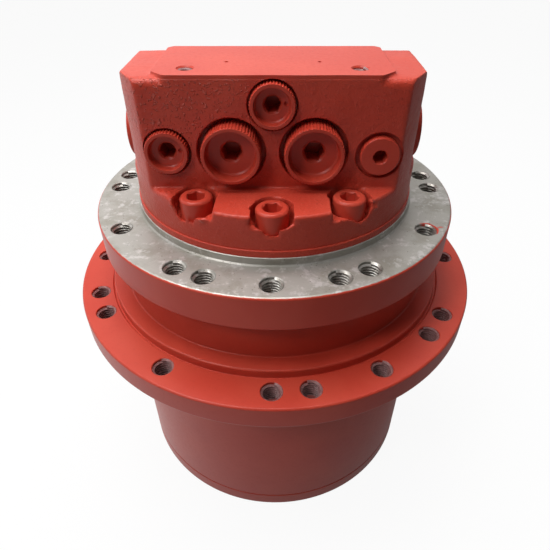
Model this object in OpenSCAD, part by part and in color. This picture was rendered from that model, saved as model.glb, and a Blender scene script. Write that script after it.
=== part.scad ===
// Compact hydraulic track drive: an axial piston motor with a two-stage planetary gearbox in its hub.
// It stands on the end cover of the hub. The drive axis is +Z, and the port block's plugged face looks to -Y.
// The frame flange and the port block stand still, and the hub with the sprocket flange turns around them.

/* [Hub and sprocket flange] */
// Wall of the hub outside the ring gear
hub_wall = 17.2; // [15:0.1:20]
// Thickness of the end cover outside the hub
cover_t = 13; // [11:0.5:15]
// Height of the face that the sprocket bolts to
sprocket_face_z = 160; // [158:0.5:162]
// Thickness of the sprocket flange
sprocket_flange_t = 16; // [12:0.5:20]
// Distance from the sprocket's bolt circle to the rim of its flange
sprocket_edge = 12.5; // [10:0.5:16]
// Distance from the step that centres the sprocket to the bolt circle
sprocket_circle_gap = 10; // [9:0.5:12]
// How far the step that centres the sprocket stands out from the neck
pilot_step = 10.5; // [8:0.5:13]
// Height of the step that centres the sprocket
pilot_h = 5; // [3:0.5:7]
// Wall of the neck around the face seal
neck_wall = 10.5; // [8:0.5:13]

/* [Frame flange] */
// Height of the face that bolts to the track frame
frame_face_z = 218; // [216:0.5:222]
// Thickness of the frame flange
frame_flange_t = 22; // [18:0.5:24]
// Distance from the frame's bolt circle to the rim of its flange
frame_edge = 11.5; // [9:0.5:14]
// Distance from the spigot that centres the drive in the frame to the bolt circle
frame_circle_gap = 15.5; // [14:0.5:18]
// How far the spigot stands out from the port cover's base
spigot_step = 1.5; // [1:0.25:3]
// Height of the spigot
spigot_h = 5; // [3:0.5:7]
// Gap between the frame flange and the turning neck
flange_gap = 3; // [2:0.25:4]

/* [Flange bolts] */
// Thread diameter of the flange holes
flange_thread_d = 12; // [10:1:14]
// Evenly spaced holes in each flange
flange_holes = 12; // [12, 18, 24]
// Angle from an evenly spaced hole to its extra neighbour
extra_hole_step = 10; // [9:0.5:11]

/* [Port cover] */
// Distance from the cover screws' circle to the rim of the cover's round base
base_edge = 10.7; // [10:0.1:13]
// Height of the round base above the spigot
base_h = 24; // [22:0.5:27]
// Half width of the port block
block_half_w = 78.5; // [76:0.5:81]
// Distance from the axis to the plugged front face
block_front = 56; // [54:0.5:58]
// Distance from the axis to the rear face with the ports
block_rear = 48; // [46:0.5:50]
// Height of the cast shoulders above the frame face
shoulder_h = 86; // [84:0.5:90]
// Height of the machined pad above the shoulders
pad_h = 3; // [2:0.5:5]
// Height of the rear deck above the frame face
deck_h = 68; // [66:0.5:72]
// Half width of the machined pad
pad_half_w = 60; // [57:0.5:63]

/* [Plugs] */
// Height of the plug row above the frame face
plug_row_h = 50; // [49:0.5:51]
// Height of the top plug above the frame face
top_plug_h = 74.5; // [73.5:0.5:75.5]
// Half spacing of the two relief valve plugs
relief_plug_x = 21.8; // [21.4:0.1:22.4]
// Half spacing of the two outer plugs
outer_plug_x = 56; // [55:0.5:57]
// Head diameter of the relief valve plugs
relief_head_d = 30; // [28:0.5:32]
// Head diameter of the small knurled plugs
gauge_head_d = 23; // [21:0.5:24]
// Face diameter of the plain socket plug
socket_plug_d = 21; // [19:0.5:22]

/* [Cover screws] */
// Thread diameter of the cover screws
screw_d = 12; // [10:1:12]
// Distance from the brake's cavity to the cover screws' circle
screw_circle_gap = 22.8; // [22:0.1:25]
// Angle between neighbouring cover screws
screw_step = 32.5; // [31:0.5:34]

/* [Gear train] */
// Module of the teeth
gear_m = 3; // [2.96:0.01:3.04]
// Teeth of the ring gear in the hub
ring_teeth = 60; // [60]
// Teeth of the output sun gear
sun2_teeth = 20; // [20]
// Teeth of the input sun gear
sun1_teeth = 12; // [12]
// Face width of the input stage
stage1_w = 21; // [18:0.5:22]
// Face width of the output stage
stage2_w = 27; // [24:0.5:28]
// Thinning of each tooth flank, which gives the backlash
flank_relief = 0.16; // [0.12:0.01:0.2]
// Radius of the planet pins
planet_pin_r = 8; // [7:0.25:8.5]

/* [Bearings] */
// Wall of the spindle outside the output planets' pins
pin_wall = 2; // [1:0.25:3]
// Radial height of a main bearing
main_bearing_h = 17; // [16.5:0.25:17.25]
// Width of a main bearing
main_bearing_w = 18; // [16:0.5:19]
// Radius of the balls of the main bearings
main_ball_r = 5.5; // [5:0.1:5.8]
// Balls in each main bearing
main_balls = 30; // [20:1:36]

/* [Motor] */
// Radius of the motor cavity beside the swash plate
cavity_r = 50.5; // [50:0.25:51]
// Radial width of the brake plates
brake_ring_w = 9.5; // [9:0.25:10]
// Full tilt of the swash plate, which is how it rests
swash_angle = 15; // [13:0.5:16]
// Circle radius of the pistons
piston_circle_r = 30; // [29.5:0.25:30.5]
// Radius of a piston
piston_r = 8; // [7:0.25:8.5]
// Pistons in the cylinder block
pistons_n = 9; // [7, 9]
// Radius of the cylinder block
block_r = 43; // [42:0.25:43.5]
// Radius of the counterbalance spool
spool_r = 9; // [8:0.5:10]

/* [Hidden] */

$fn = 96;
cut = 1;                                   // how far a cutter runs past the face that it opens
fit_gap = 0.05;                            // radial clearance of a running fit
seat_gap = 0.3;                            // gap between moving neighbours that don't guide each other
paint = "firebrick";
steel = "silver";
dark_steel = "dimgray";
bronze = "peru";
rubber = "black";

// Heights of the fixed side
spigot_top_z = frame_face_z + spigot_h;
ledge_z = spigot_top_z + base_h;
shoulder_z = frame_face_z + shoulder_h;
pad_z = shoulder_z + pad_h;
deck_z = frame_face_z + deck_h;
flange_under_z = frame_face_z - frame_flange_t;

// Heights of the hub
sprocket_back_z = sprocket_face_z - sprocket_flange_t;
pilot_z = sprocket_face_z + pilot_h;
neck_top_z = flange_under_z - flange_gap;

// Gear train
pressure = 20;
tooth_add = 0.8 * gear_m;
tooth_ded = 1.1 * gear_m;
planet1_teeth = (ring_teeth - sun1_teeth) / 2;
planet2_teeth = (ring_teeth - sun2_teeth) / 2;
planets1 = 3;
planets2 = 4;
stage1_r = gear_m * (sun1_teeth + planet1_teeth) / 2;
stage2_r = gear_m * (sun2_teeth + planet2_teeth) / 2;
planet1_start = 90;
planet2_start = 45;
ring_pitch_r = gear_m * ring_teeth / 2;
ring_tip_r = ring_pitch_r - tooth_add;
ring_root_r = ring_pitch_r + tooth_ded;
clip_t = 1.5;
clip_space = 1;
carrier_t = 8;
stage1_z = cover_t + 9;
carrier_z = stage1_z + stage1_w + clip_space;
carrier_top_z = carrier_z + carrier_t;
stage2_z = carrier_top_z + clip_space + clip_t + 2;
stage2_top_z = stage2_z + stage2_w;
ring_start_z = cover_t + 6;
ring_end_z = stage2_top_z + 3;
sun_shaft_r = 12;
sun2_bore_r = 14.5;
sun2_shank_r = 22;

// Spindle and main bearings
spindle_r = stage2_r + planet_pin_r + pin_wall;
spindle_end_z = stage2_top_z + 4.5;
bearing_r = spindle_r + main_bearing_h;
nut_t = 6;
nut_r = spindle_r + 10;
lower_bearing_z = spindle_end_z + nut_t + 2;
spindle_shoulder_r = spindle_r + 8;
upper_bearing_z = sprocket_face_z - 14;
race_middle_r = spindle_r + main_bearing_h / 2;

// Face seal between the neck and the frame flange
seal_step = 9;
seal_housing_r = bearing_r + seal_step;
seal_face_z = neck_top_z - 2;
seal_band_in = spindle_shoulder_r + 7;
seal_band_out = seal_housing_r - 1.5;
seal_tail_r = seal_housing_r - 8.2;
seal_half_h = 12;
cushion_r = 4;

// Outer radii, each from the one inside it
hub_r = ring_root_r + hub_wall;
neck_r = seal_housing_r + neck_wall;
pilot_r = neck_r + pilot_step;
sprocket_bolt_circle_r = pilot_r + sprocket_circle_gap;
sprocket_flange_r = sprocket_bolt_circle_r + sprocket_edge;
brake_inner_r = block_r + 2;
brake_cavity_r = brake_inner_r + brake_ring_w;
screw_circle_r = brake_cavity_r + screw_circle_gap;
base_r = screw_circle_r + base_edge;
spigot_r = base_r + spigot_step;
frame_bolt_circle_r = spigot_r + frame_circle_gap;
frame_flange_r = frame_bolt_circle_r + frame_edge;

// Motor
cavity_floor_z = spindle_end_z + 18;
shaft_bearing_w = 12;
shaft_big_r = 20;
front_bearing_r = 33;
front_ball_r = 4;
front_balls = 11;
shaft_r = 14;
journal_r = 11;
swash_centre_z = cavity_floor_z + 44;
slipper_h = 8;
shoe_gap = 0.1;
cradle_r = 40;
cradle_disc_r = cavity_r - 0.5;
cradle_top_z = cavity_floor_z + 17;
swash_limit_r = cavity_r - 4;
control_y = 42;
control_r = 5;
lug_half_w = 8;
brake_floor_z = swash_centre_z + 18;
cylinder_z = brake_floor_z - 1;
cylinder_h = 42;
cylinder_top_z = cylinder_z + cylinder_h;
valve_plate_t = 4;
kidney_r = 4;
cover_boss_z = cylinder_top_z + valve_plate_t + 0.1;
cover_boss_r = brake_cavity_r - 0.5;
plate_t = 2;
plate_pitch = 2.15;
brake_layers = 7;
brake_stack_top_z = brake_floor_z + 0.1 + brake_layers * plate_pitch;
brake_piston_t = 12;
brake_travel = 2;
spring_circle_r = (brake_inner_r + cover_boss_r) / 2;
spring_r = 3;
spring_wire_r = 0.7;
spring_turns = 4;
springs_n = 8;

// Port cover
lip_h = 4;
lip_w = 0.8;
block_corner_r = 4;
shoulder_edge_r = 5;
deck_edge_r = 6;
pad_clip_x = 5.8;
pad_clip_y = 9.5;
pad_hole_x = 43.7;
pad_hole_y = 43.6;
pad_thread_d = 8;
pad_hole_depth = 16;
dot_x = 24.1;
dot_y = 32.2;
dot_r = 1;
screw_head_r = 0.75 * screw_d;
screw_head_h = screw_d;
screw_l = 27;
screw_key = 0.83 * screw_d;
pocket_gap = 2.3;
pocket_r = screw_head_r + pocket_gap;
pocket_floor_z = ledge_z - screw_head_h + 0.2;
spool_y = 12;
spool_h = 47;
spool_z = frame_face_z + spool_h;
spool_l = 108;
spool_travel = 5;
cap_r = 17;
cap_proud = 6;
cap_shank_r = spool_r + 4;
cap_shank_l = 14;
speed_r = 5;
speed_y = 18;
speed_z = frame_face_z + 38;
speed_l = 40;
speed_travel = 4;
speed_bore_l = 57;
speed_plug = [7.5, 11];

// Ports on the rear face: half spacing, height above the frame face, bore radius, depth, spot face radius
main_port = [25, 43, 10.5, 20, 15];
drain_port = [56, 43, 7, 14, 11];
pilot_port = [0, 53, 5.2, 12, 8];

relief_head_proud = 7;
relief_head_depth = 7;
relief_pocket_d = relief_head_d + 6.5;
relief_cup = [relief_head_d / 2 - 1.7, 7.5];
relief_shank = [11, 12];
relief_key = 10;
gauge_head_proud = 3;
gauge_head_depth = 5;
gauge_pocket_d = gauge_head_d + 2.6;
gauge_cup = [gauge_head_d / 2 - 2.4, 3];
gauge_shank = [7, 12];
gauge_key = 8;
socket_plug_proud = 2;
socket_plug_depth = 3;
socket_pocket_d = socket_plug_d + 4.6;
socket_shank = [8.5, 10];
socket_key = 7;
key_depth = 7;
knurl_depth = 0.45;
relief_valve_r = 9;
relief_valve_l = 18;

oil_plug_r = 9;
oil_plug_circle_r = 44;
cover_bolt_d = 8;
cover_bolts_n = 12;
cover_bolt_circle_r = (ring_root_r + hub_r) / 2;
cover_bolt_head_r = 0.8 * cover_bolt_d;
cover_bolt_l = 16;

// Angles of the holes in a flange: even ones, and extra ones beside every other pair
function even_angles() = [for (i = [0:flange_holes - 1]) i * 360 / flange_holes];
function extra_angles(first) = [for (k = [0:2], s = [0, 1]) first + k * 120 + s * (60 - 2 * extra_hole_step)];

// Half angle of a tooth at radius r, with the flanks moved by relief (negative makes the tooth thinner)
function involute(a) = tan(a) * 180 / PI - a;
function half_tooth(teeth, r, relief) =
    90 / teeth + relief / (gear_m * teeth / 2) * 180 / PI + involute(pressure)
    - involute(acos(min(1, gear_m * teeth / 2 * cos(pressure) / r)));
function polar(r, a) = [r * cos(a), r * sin(a)];

// Outline of a toothed wheel between two radii, with a tooth at angle 0
function tooth_radii(teeth, root, tip) =
    let (base = max(root, gear_m * teeth / 2 * cos(pressure) + 0.01))
    [root, base, base + (tip - base) / 3, base + (tip - base) * 2 / 3, tip];
function gear_outline(teeth, root, tip, relief) = [
    for (i = [0:teeth - 1], k = [0:9])
        let (radii = tooth_radii(teeth, root, tip), j = k < 5 ? k : 9 - k, side = k < 5 ? -1 : 1,
            r = radii[j], a = half_tooth(teeth, max(r, radii[1]), relief))
        polar(r, i * 360 / teeth + side * a)
];
function ring_outline() = [
    for (i = [0:ring_teeth - 1], k = [0:7])
        let (j = k < 4 ? k : 7 - k, side = k < 4 ? -1 : 1,
            r = ring_tip_r + (ring_root_r - ring_tip_r) * j / 3)
        polar(r, i * 360 / ring_teeth + side * half_tooth(ring_teeth, r, flank_relief))
];

// Turn of a sun gear and of a planet at angle at, to mesh with a ring gear that has a gap at angle 0
function sun_turn(sun, planet, at) = (at * (sun + ring_teeth) + 180 * planet + 180) / sun;
function planet_turn(sun, planet, start, at) =
    at + 180 + 360 / planet * (0.5 - (sun_turn(sun, planet, start) - at) * sun / 360);

module tube(r_in, r_out, h) {
    difference() {
        cylinder(r = r_out, h = h);
        translate([0, 0, -cut]) cylinder(r = r_in, h = h + 2 * cut);
    }
}

module hex_hole(width, depth) {
    translate([0, 0, -depth]) cylinder(d = width / cos(30), h = depth + cut, $fn = 6);
}

module ring_copies(n, r, start = 0) {
    for (i = [0:n - 1]) rotate(start + i * 360 / n) translate([r, 0, 0]) children();
}

module flange_hole_copies(r, first_extra) {
    for (a = concat(even_angles(), extra_angles(first_extra))) rotate(a - 90) translate([r, 0, 0]) children();
}

// A tapped hole through a flange of thickness t, with a countersunk mouth on its upper side
module tapped_hole(t, d) {
    translate([0, 0, -t - cut]) cylinder(d = d, h = t + 2 * cut, $fn = 48);
    translate([0, 0, -0.6]) cylinder(d1 = d, d2 = d + 3.2, h = 1.6, $fn = 48);
}

module toothed(teeth, width, bore) {
    pitch = gear_m * teeth / 2;
    difference() {
        linear_extrude(width)
            polygon(gear_outline(teeth, pitch - tooth_ded, pitch + tooth_add, -flank_relief));
        if (bore > 0) translate([0, 0, -cut]) cylinder(r = bore, h = width + 2 * cut);
    }
}

// Hub, with the ring gear cut in its bore
module hub() {
    color(paint) difference() {
        rotate_extrude($fn = 180) polygon([
            [ring_tip_r - 8, cover_t], [hub_r - 0.6, cover_t], [hub_r, cover_t + 0.6],
            [hub_r, sprocket_back_z], [sprocket_flange_r - 1, sprocket_back_z],
            [sprocket_flange_r, sprocket_back_z + 1],
            [sprocket_flange_r, sprocket_face_z - 1], [sprocket_flange_r - 1, sprocket_face_z],
            [pilot_r + 1.6, sprocket_face_z], [pilot_r + 1.6, sprocket_face_z - 1],
            [pilot_r, sprocket_face_z - 1], [pilot_r, pilot_z - 1.2], [pilot_r - 1.2, pilot_z],
            [neck_r, pilot_z], [neck_r, neck_top_z - 1], [neck_r - 1, neck_top_z], [ring_tip_r - 8, neck_top_z]
        ]);
        translate([0, 0, cover_t - cut]) cylinder(r = ring_root_r + 0.5, h = ring_start_z - cover_t + cut);
        translate([0, 0, ring_start_z - cut]) linear_extrude(ring_end_z - ring_start_z + cut)
            polygon(ring_outline());
        translate([0, 0, ring_end_z - cut])
            cylinder(r = bearing_r, h = lower_bearing_z + main_bearing_w - ring_end_z + cut);
        translate([0, 0, cover_t]) cylinder(r = bearing_r - 6, h = neck_top_z);
        translate([0, 0, upper_bearing_z]) cylinder(r = bearing_r, h = neck_top_z);
        translate([0, 0, seal_face_z - seal_half_h]) cylinder(r = seal_housing_r, h = neck_top_z);
        translate([0, 0, sprocket_face_z]) flange_hole_copies(sprocket_bolt_circle_r, extra_hole_step)
            tapped_hole(sprocket_flange_t, flange_thread_d);
        ring_copies(cover_bolts_n, cover_bolt_circle_r, 15) translate([0, 0, cover_t - cut])
            cylinder(d = cover_bolt_d, h = cover_bolt_l + 3 + cut, $fn = 32);
    }
}

// End cover, which closes the gearbox and which the drive stands on
module end_cover() {
    color(paint) difference() {
        rotate_extrude($fn = 180) polygon([
            [0, 2], [60, 2], [62, 0], [hub_r - 3, 0], [hub_r, 3], [hub_r, cover_t - 0.6],
            [hub_r - 0.6, cover_t], [ring_root_r, cover_t], [ring_root_r, ring_start_z - 1],
            [ring_root_r - 6, ring_start_z - 1],
            [ring_root_r - 10, cover_t - 4], [20, cover_t - 4], [18, cover_t + 2], [0, cover_t + 2]
        ]);
        translate([0, 0, cover_t + 0.5]) cylinder(r = 12, h = 10);
        ring_copies(cover_bolts_n, cover_bolt_circle_r, 15) {
            translate([0, 0, -cut])
                cylinder(r = cover_bolt_head_r + 0.3, h = cover_bolt_d + 1 + cut, $fn = 32);
            translate([0, 0, -cut]) cylinder(d = cover_bolt_d + 0.6, h = cover_t + 2 * cut, $fn = 32);
        }
        ring_copies(2, oil_plug_circle_r) {
            translate([0, 0, -cut]) cylinder(r = oil_plug_r + 3, h = 4 + cut);
            translate([0, 0, -cut]) cylinder(r = oil_plug_r, h = cover_t + 2 * cut);
        }
    }
}

module cover_bolts() {
    color(dark_steel) ring_copies(cover_bolts_n, cover_bolt_circle_r, 15) translate([0, 0, 1]) difference() {
        union() {
            cylinder(r = cover_bolt_head_r, h = cover_bolt_d, $fn = 32);
            cylinder(d = cover_bolt_d, h = cover_t - 1 + cover_bolt_l, $fn = 32);
        }
        rotate([180, 0, 0]) hex_hole(0.75 * cover_bolt_d, 0.5 * cover_bolt_d);
    }
}

module oil_plugs() {
    color(steel) ring_copies(2, oil_plug_circle_r) translate([0, 0, 2.2]) difference() {
        union() {
            cylinder(r = oil_plug_r + 2.6, h = 1.8);
            cylinder(r = oil_plug_r, h = cover_t - 6.4);
        }
        rotate([180, 0, 0]) hex_hole(8, 4.5);
    }
}

module thrust_pad() {
    color(bronze) translate([0, 0, cover_t + 0.5]) {
        cylinder(r = 12, h = 4);
        cylinder(r = 8, h = stage1_z - cover_t - 2);
    }
}

// Main bearings: one ring has a groove for the balls in its inner or outer wall
module bearing_ring(r_in, r_out, width, middle_r, ball_r) {
    rotate_extrude($fn = 128) difference() {
        translate([r_in, 0]) square([r_out - r_in, width]);
        translate([middle_r, width / 2]) circle(r = ball_r + 0.12, $fn = 48);
    }
}

module main_bearing_places() {
    for (z = [lower_bearing_z, upper_bearing_z]) translate([0, 0, z]) children();
}

module bearing_outer_rings() {
    color(steel) main_bearing_places()
        bearing_ring(race_middle_r + main_ball_r * 0.45, bearing_r,
            main_bearing_w, race_middle_r, main_ball_r);
}

module bearing_inner_rings() {
    color(steel) main_bearing_places()
        bearing_ring(spindle_r, race_middle_r - main_ball_r * 0.45,
            main_bearing_w, race_middle_r, main_ball_r);
}

module main_bearing_balls() {
    color(steel) main_bearing_places() ring_copies(main_balls, race_middle_r)
        translate([0, 0, main_bearing_w / 2]) sphere(r = main_ball_r, $fn = 32);
}

// Face seal: two lapped steel rings, each pressed by a rubber cushion
module seal_ring() {
    rotate_extrude($fn = 128) polygon([
        [spindle_shoulder_r + 3, 3], [seal_band_in, 0.15], [seal_band_out, 0.15], [seal_band_out, 2.6],
        [seal_tail_r, 4.4], [seal_tail_r, seal_half_h - 1], [spindle_shoulder_r + 3, seal_half_h - 1]
    ]);
}

module seal_cushion() {
    rotate_extrude($fn = 128) translate([(seal_tail_r + seal_housing_r) / 2, seal_half_h - cushion_r - 0.5])
        circle(r = cushion_r, $fn = 32);
}

module seal_ring_rotating() {
    color(dark_steel) translate([0, 0, seal_face_z]) mirror([0, 0, 1]) seal_ring();
}

module seal_cushion_rotating() {
    color(rubber) translate([0, 0, seal_face_z]) mirror([0, 0, 1]) seal_cushion();
}

module seal_ring_fixed() {
    color(dark_steel) translate([0, 0, seal_face_z]) seal_ring();
}

module seal_cushion_fixed() {
    color(rubber) translate([0, 0, seal_face_z]) seal_cushion();
}

// Spindle: the frame flange, the hollow spindle that carries the hub, and its end wall with the planet pins
module spindle_housing() {
    color(steel) difference() {
        rotate_extrude($fn = 180) polygon([
            [0, spindle_end_z], [spindle_r - 1, spindle_end_z], [spindle_r, spindle_end_z + 1],
            [spindle_r, upper_bearing_z + main_bearing_w],
            [spindle_shoulder_r, upper_bearing_z + main_bearing_w],
            [spindle_shoulder_r, seal_face_z + seal_half_h], [seal_housing_r, seal_face_z + seal_half_h],
            [seal_housing_r, flange_under_z], [frame_flange_r - 1, flange_under_z],
            [frame_flange_r, flange_under_z + 1], [frame_flange_r, frame_face_z - 1],
            [frame_flange_r - 1, frame_face_z], [spigot_r + 1.6, frame_face_z],
            [spigot_r + 1.6, frame_face_z - 1],
            [spigot_r, frame_face_z - 1], [spigot_r, spigot_top_z - 0.6], [spigot_r - 0.6, spigot_top_z],
            [0, spigot_top_z]
        ]);
        translate([0, 0, cavity_floor_z]) cylinder(r = cavity_r, h = spigot_top_z);
        translate([0, 0, brake_floor_z]) cylinder(r = brake_cavity_r, h = spigot_top_z);
        translate([0, 0, cavity_floor_z - shaft_bearing_w])
            cylinder(r = front_bearing_r, h = shaft_bearing_w + cut);
        translate([0, 0, spindle_end_z - cut]) cylinder(r = 28, h = 20);
        translate([0, 0, frame_face_z]) flange_hole_copies(frame_bolt_circle_r, 20)
            tapped_hole(frame_flange_t, flange_thread_d);
        ring_copies(planets2, stage2_r, planet2_start) translate([0, 0, spindle_end_z - cut])
            cylinder(r = planet_pin_r, h = 15 + cut);
        translate([0, -control_y, spindle_end_z + 6]) cylinder(r = control_r + fit_gap, h = 20);
        screw_places() translate([0, 0, pocket_floor_z - screw_l - 1.5])
            cylinder(d = screw_d, h = screw_l + 2, $fn = 48);
        translate([0, 0, spigot_top_z - 2])
            rotate_extrude() translate([brake_cavity_r + 5, 0]) square([4, 3]);
    }
}

module bearing_nut() {
    color(dark_steel) translate([0, 0, lower_bearing_z - nut_t - 0.05]) difference() {
        tube(spindle_r, nut_r, nut_t);
        ring_copies(6, nut_r) translate([-3, -3, -cut]) cube([8, 6, 3 + cut]);
    }
}

module cover_o_ring() {
    color(rubber) translate([0, 0, spigot_top_z - 1.02]) rotate_extrude()
        translate([brake_cavity_r + 7, 0]) circle(r = 0.98, $fn = 24);
}

// Planet pins and the clips on their free ends
module planet_pin(low, high) {
    translate([0, 0, low]) cylinder(r = planet_pin_r, h = high - low);
}

module pin_clip(z) {
    translate([0, 0, z]) difference() {
        cylinder(r = planet_pin_r + 2.4, h = clip_t, $fn = 48);
        translate([0, 0, -cut]) cylinder(r = planet_pin_r, h = clip_t + 2 * cut, $fn = 48);
        translate([0, -3, -cut]) cube([planet_pin_r + 4, 6, clip_t + 2 * cut]);
    }
}

module output_pins() {
    color(steel) ring_copies(planets2, stage2_r, planet2_start)
        planet_pin(stage2_z - clip_t - 1.5, spindle_end_z + 15);
}

module output_pin_clips() {
    color(dark_steel) ring_copies(planets2, stage2_r, planet2_start) pin_clip(stage2_z - clip_t - 0.5);
}

module input_pins() {
    color(steel) ring_copies(planets1, stage1_r, planet1_start)
        planet_pin(stage1_z - clip_t - 1.5, carrier_top_z);
}

module input_pin_clips() {
    color(dark_steel) ring_copies(planets1, stage1_r, planet1_start) pin_clip(stage1_z - clip_t - 0.5);
}

// Gears
module input_planet(i) {
    at = planet1_start + i * 360 / planets1;
    color(steel) translate([stage1_r * cos(at), stage1_r * sin(at), stage1_z])
        rotate(planet_turn(sun1_teeth, planet1_teeth, planet1_start, at))
        toothed(planet1_teeth, stage1_w, planet_pin_r + fit_gap);
}

module output_planet(i) {
    at = planet2_start + i * 360 / planets2;
    color(steel) translate([stage2_r * cos(at), stage2_r * sin(at), stage2_z])
        rotate(planet_turn(sun2_teeth, planet2_teeth, planet2_start, at))
        toothed(planet2_teeth, stage2_w, planet_pin_r + fit_gap);
}

module planet_carrier() {
    color(dark_steel) translate([0, 0, carrier_z]) difference() {
        union() {
            cylinder(r = 40, h = carrier_t);
            ring_copies(planets1, stage1_r, planet1_start) cylinder(r = planet_pin_r + 7, h = carrier_t);
            ring_copies(planets1, stage1_r / 2, planet1_start) translate([0, -planet_pin_r - 4, 0])
                cube([stage1_r / 2, 2 * planet_pin_r + 8, carrier_t]);
        }
        translate([0, 0, -cut]) cylinder(r = sun2_shank_r, h = carrier_t + 2 * cut);
        ring_copies(planets1, stage1_r, planet1_start) translate([0, 0, -cut])
            cylinder(r = planet_pin_r, h = carrier_t + 2 * cut);
    }
}

module output_sun_gear() {
    color(steel) difference() {
        union() {
            translate([0, 0, stage2_z]) rotate(sun_turn(sun2_teeth, planet2_teeth, planet2_start))
                toothed(sun2_teeth, stage2_w, 0);
            translate([0, 0, carrier_z]) cylinder(r = sun2_shank_r, h = stage2_z - carrier_z + cut);
        }
        translate([0, 0, carrier_z - cut]) cylinder(r = sun2_bore_r, h = 60);
    }
}

module input_sun_gear() {
    color(steel) translate([0, 0, stage1_z - 1]) {
        rotate(sun_turn(sun1_teeth, planet1_teeth, planet1_start)) toothed(sun1_teeth, stage1_w + 1, 0);
        cylinder(r = sun_shaft_r, h = spindle_end_z + 10 - stage1_z);
    }
}

// Motor shaft and its bearings
module drive_shaft() {
    color(steel) difference() {
        union() {
            translate([0, 0, spindle_end_z - 1.5])
                cylinder(r = shaft_big_r, h = cavity_floor_z - spindle_end_z + 2.5);
            translate([0, 0, cavity_floor_z]) cylinder(r = shaft_r, h = cylinder_top_z - 3 - cavity_floor_z);
            translate([0, 0, cylinder_top_z - 4])
                cylinder(r = journal_r, h = spigot_top_z + 12 - cylinder_top_z);
        }
        translate([0, 0, spindle_end_z - 2]) cylinder(r = sun_shaft_r, h = 13);
    }
}

module shaft_seal() {
    color(rubber) translate([0, 0, spindle_end_z])
        tube(shaft_big_r + fit_gap, 28, 18 - shaft_bearing_w - 0.2);
}

module front_bearing_place() {
    translate([0, 0, cavity_floor_z - shaft_bearing_w]) children();
}

module front_bearing_outer() {
    middle = (shaft_big_r + front_bearing_r) / 2;
    color(steel) front_bearing_place()
        bearing_ring(middle + front_ball_r * 0.45, front_bearing_r, shaft_bearing_w, middle, front_ball_r);
}

module front_bearing_inner() {
    middle = (shaft_big_r + front_bearing_r) / 2;
    color(steel) front_bearing_place()
        bearing_ring(shaft_big_r, middle - front_ball_r * 0.45, shaft_bearing_w, middle, front_ball_r);
}

module front_bearing_balls() {
    color(steel) front_bearing_place() ring_copies(front_balls, (shaft_big_r + front_bearing_r) / 2)
        translate([0, 0, shaft_bearing_w / 2]) sphere(r = front_ball_r, $fn = 32);
}

module rear_bush() {
    color(bronze) translate([0, 0, cover_boss_z + 1]) tube(journal_r + fit_gap, journal_r + 3, 22);
}

// Swash plate on its cradle. Tilted shapes are drawn about the swash centre, the cam face slipper_h below it
module at_swash_centre(tilt = swash_angle) {
    translate([0, 0, swash_centre_z]) rotate([tilt, 0, 0]) children();
}

module swash_cradle() {
    color(dark_steel) difference() {
        translate([0, 0, cavity_floor_z]) cylinder(r = cradle_disc_r, h = cradle_top_z - cavity_floor_z);
        translate([-60, 0, swash_centre_z]) rotate([0, 90, 0]) cylinder(r = cradle_r + 2 * fit_gap, h = 120);
        translate([0, 0, cavity_floor_z - cut]) cylinder(r = 34, h = 30);
        translate([0, -control_y, cavity_floor_z - cut]) cylinder(r = control_r + 0.4, h = 30);
        translate([-lug_half_w - 1.5, -control_y - 12, cradle_top_z - 7]) cube([2 * lug_half_w + 3, 24, 20]);
    }
}

module swash_plate() {
    color(steel) difference() {
        intersection() {
            union() {
                translate([-60, 0, swash_centre_z]) rotate([0, 90, 0]) cylinder(r = cradle_r, h = 120);
                at_swash_centre() translate([-lug_half_w, -control_y - 8, -slipper_h - 7])
                    cube([2 * lug_half_w, control_y, 12]);
            }
            at_swash_centre() translate([0, 0, -slipper_h - 60]) cylinder(r = 100, h = 60);
            union() {
                translate([0, 0, cavity_floor_z]) cylinder(r = swash_limit_r - 2, h = 80);
                translate([-lug_half_w - 2, -control_y - 9, cavity_floor_z + 1])
                    cube([2 * lug_half_w + 4, control_y, 80]);
            }
        }
        at_swash_centre() translate([0, 0, -60]) cylinder(r1 = 34, r2 = 18, h = 60);
    }
}

module slipper_places() {
    at_swash_centre() translate([0, 0, -slipper_h]) ring_copies(pistons_n, piston_circle_r, 90) children();
}

module slipper_shoes() {
    color(bronze) slipper_places() difference() {
        union() {
            translate([0, 0, shoe_gap]) cylinder(r = piston_r + 1, h = 3, $fn = 48);
            translate([0, 0, shoe_gap]) cylinder(r = piston_r - 1.6, h = slipper_h + 2 - shoe_gap, $fn = 48);
        }
        translate([0, 0, slipper_h]) sphere(r = piston_r - 2.8, $fn = 48);
    }
}

module retainer_plate() {
    color(dark_steel) at_swash_centre() difference() {
        translate([0, 0, -slipper_h + 3.3]) cylinder(r = piston_circle_r + piston_r + 2, h = 3);
        ring_copies(pistons_n, piston_circle_r, 90) translate([0, 0, -slipper_h])
            cylinder(r = piston_r - 1, h = 10, $fn = 48);
        sphere(r = 18 + 2 * fit_gap, $fn = 96);
    }
}

module ball_guide() {
    color(steel) translate([0, 0, swash_centre_z]) intersection() {
        difference() {
            sphere(r = 18, $fn = 96);
            translate([0, 0, -20]) cylinder(r = shaft_r, h = 40);
        }
        translate([0, 0, -6]) cylinder(r = 20, h = 14);
    }
}

module control_piston() {
    lug_low = swash_centre_z - (slipper_h + 7) / cos(swash_angle) - control_y * tan(swash_angle);
    color(steel) translate([0, -control_y, 0]) {
        translate([0, 0, spindle_end_z + 6.3])
            cylinder(r = control_r, h = lug_low - control_r - 1 - spindle_end_z - 6.3, $fn = 48);
        translate([0, 0, lug_low - control_r - 1]) sphere(r = control_r, $fn = 48);
    }
}

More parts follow.
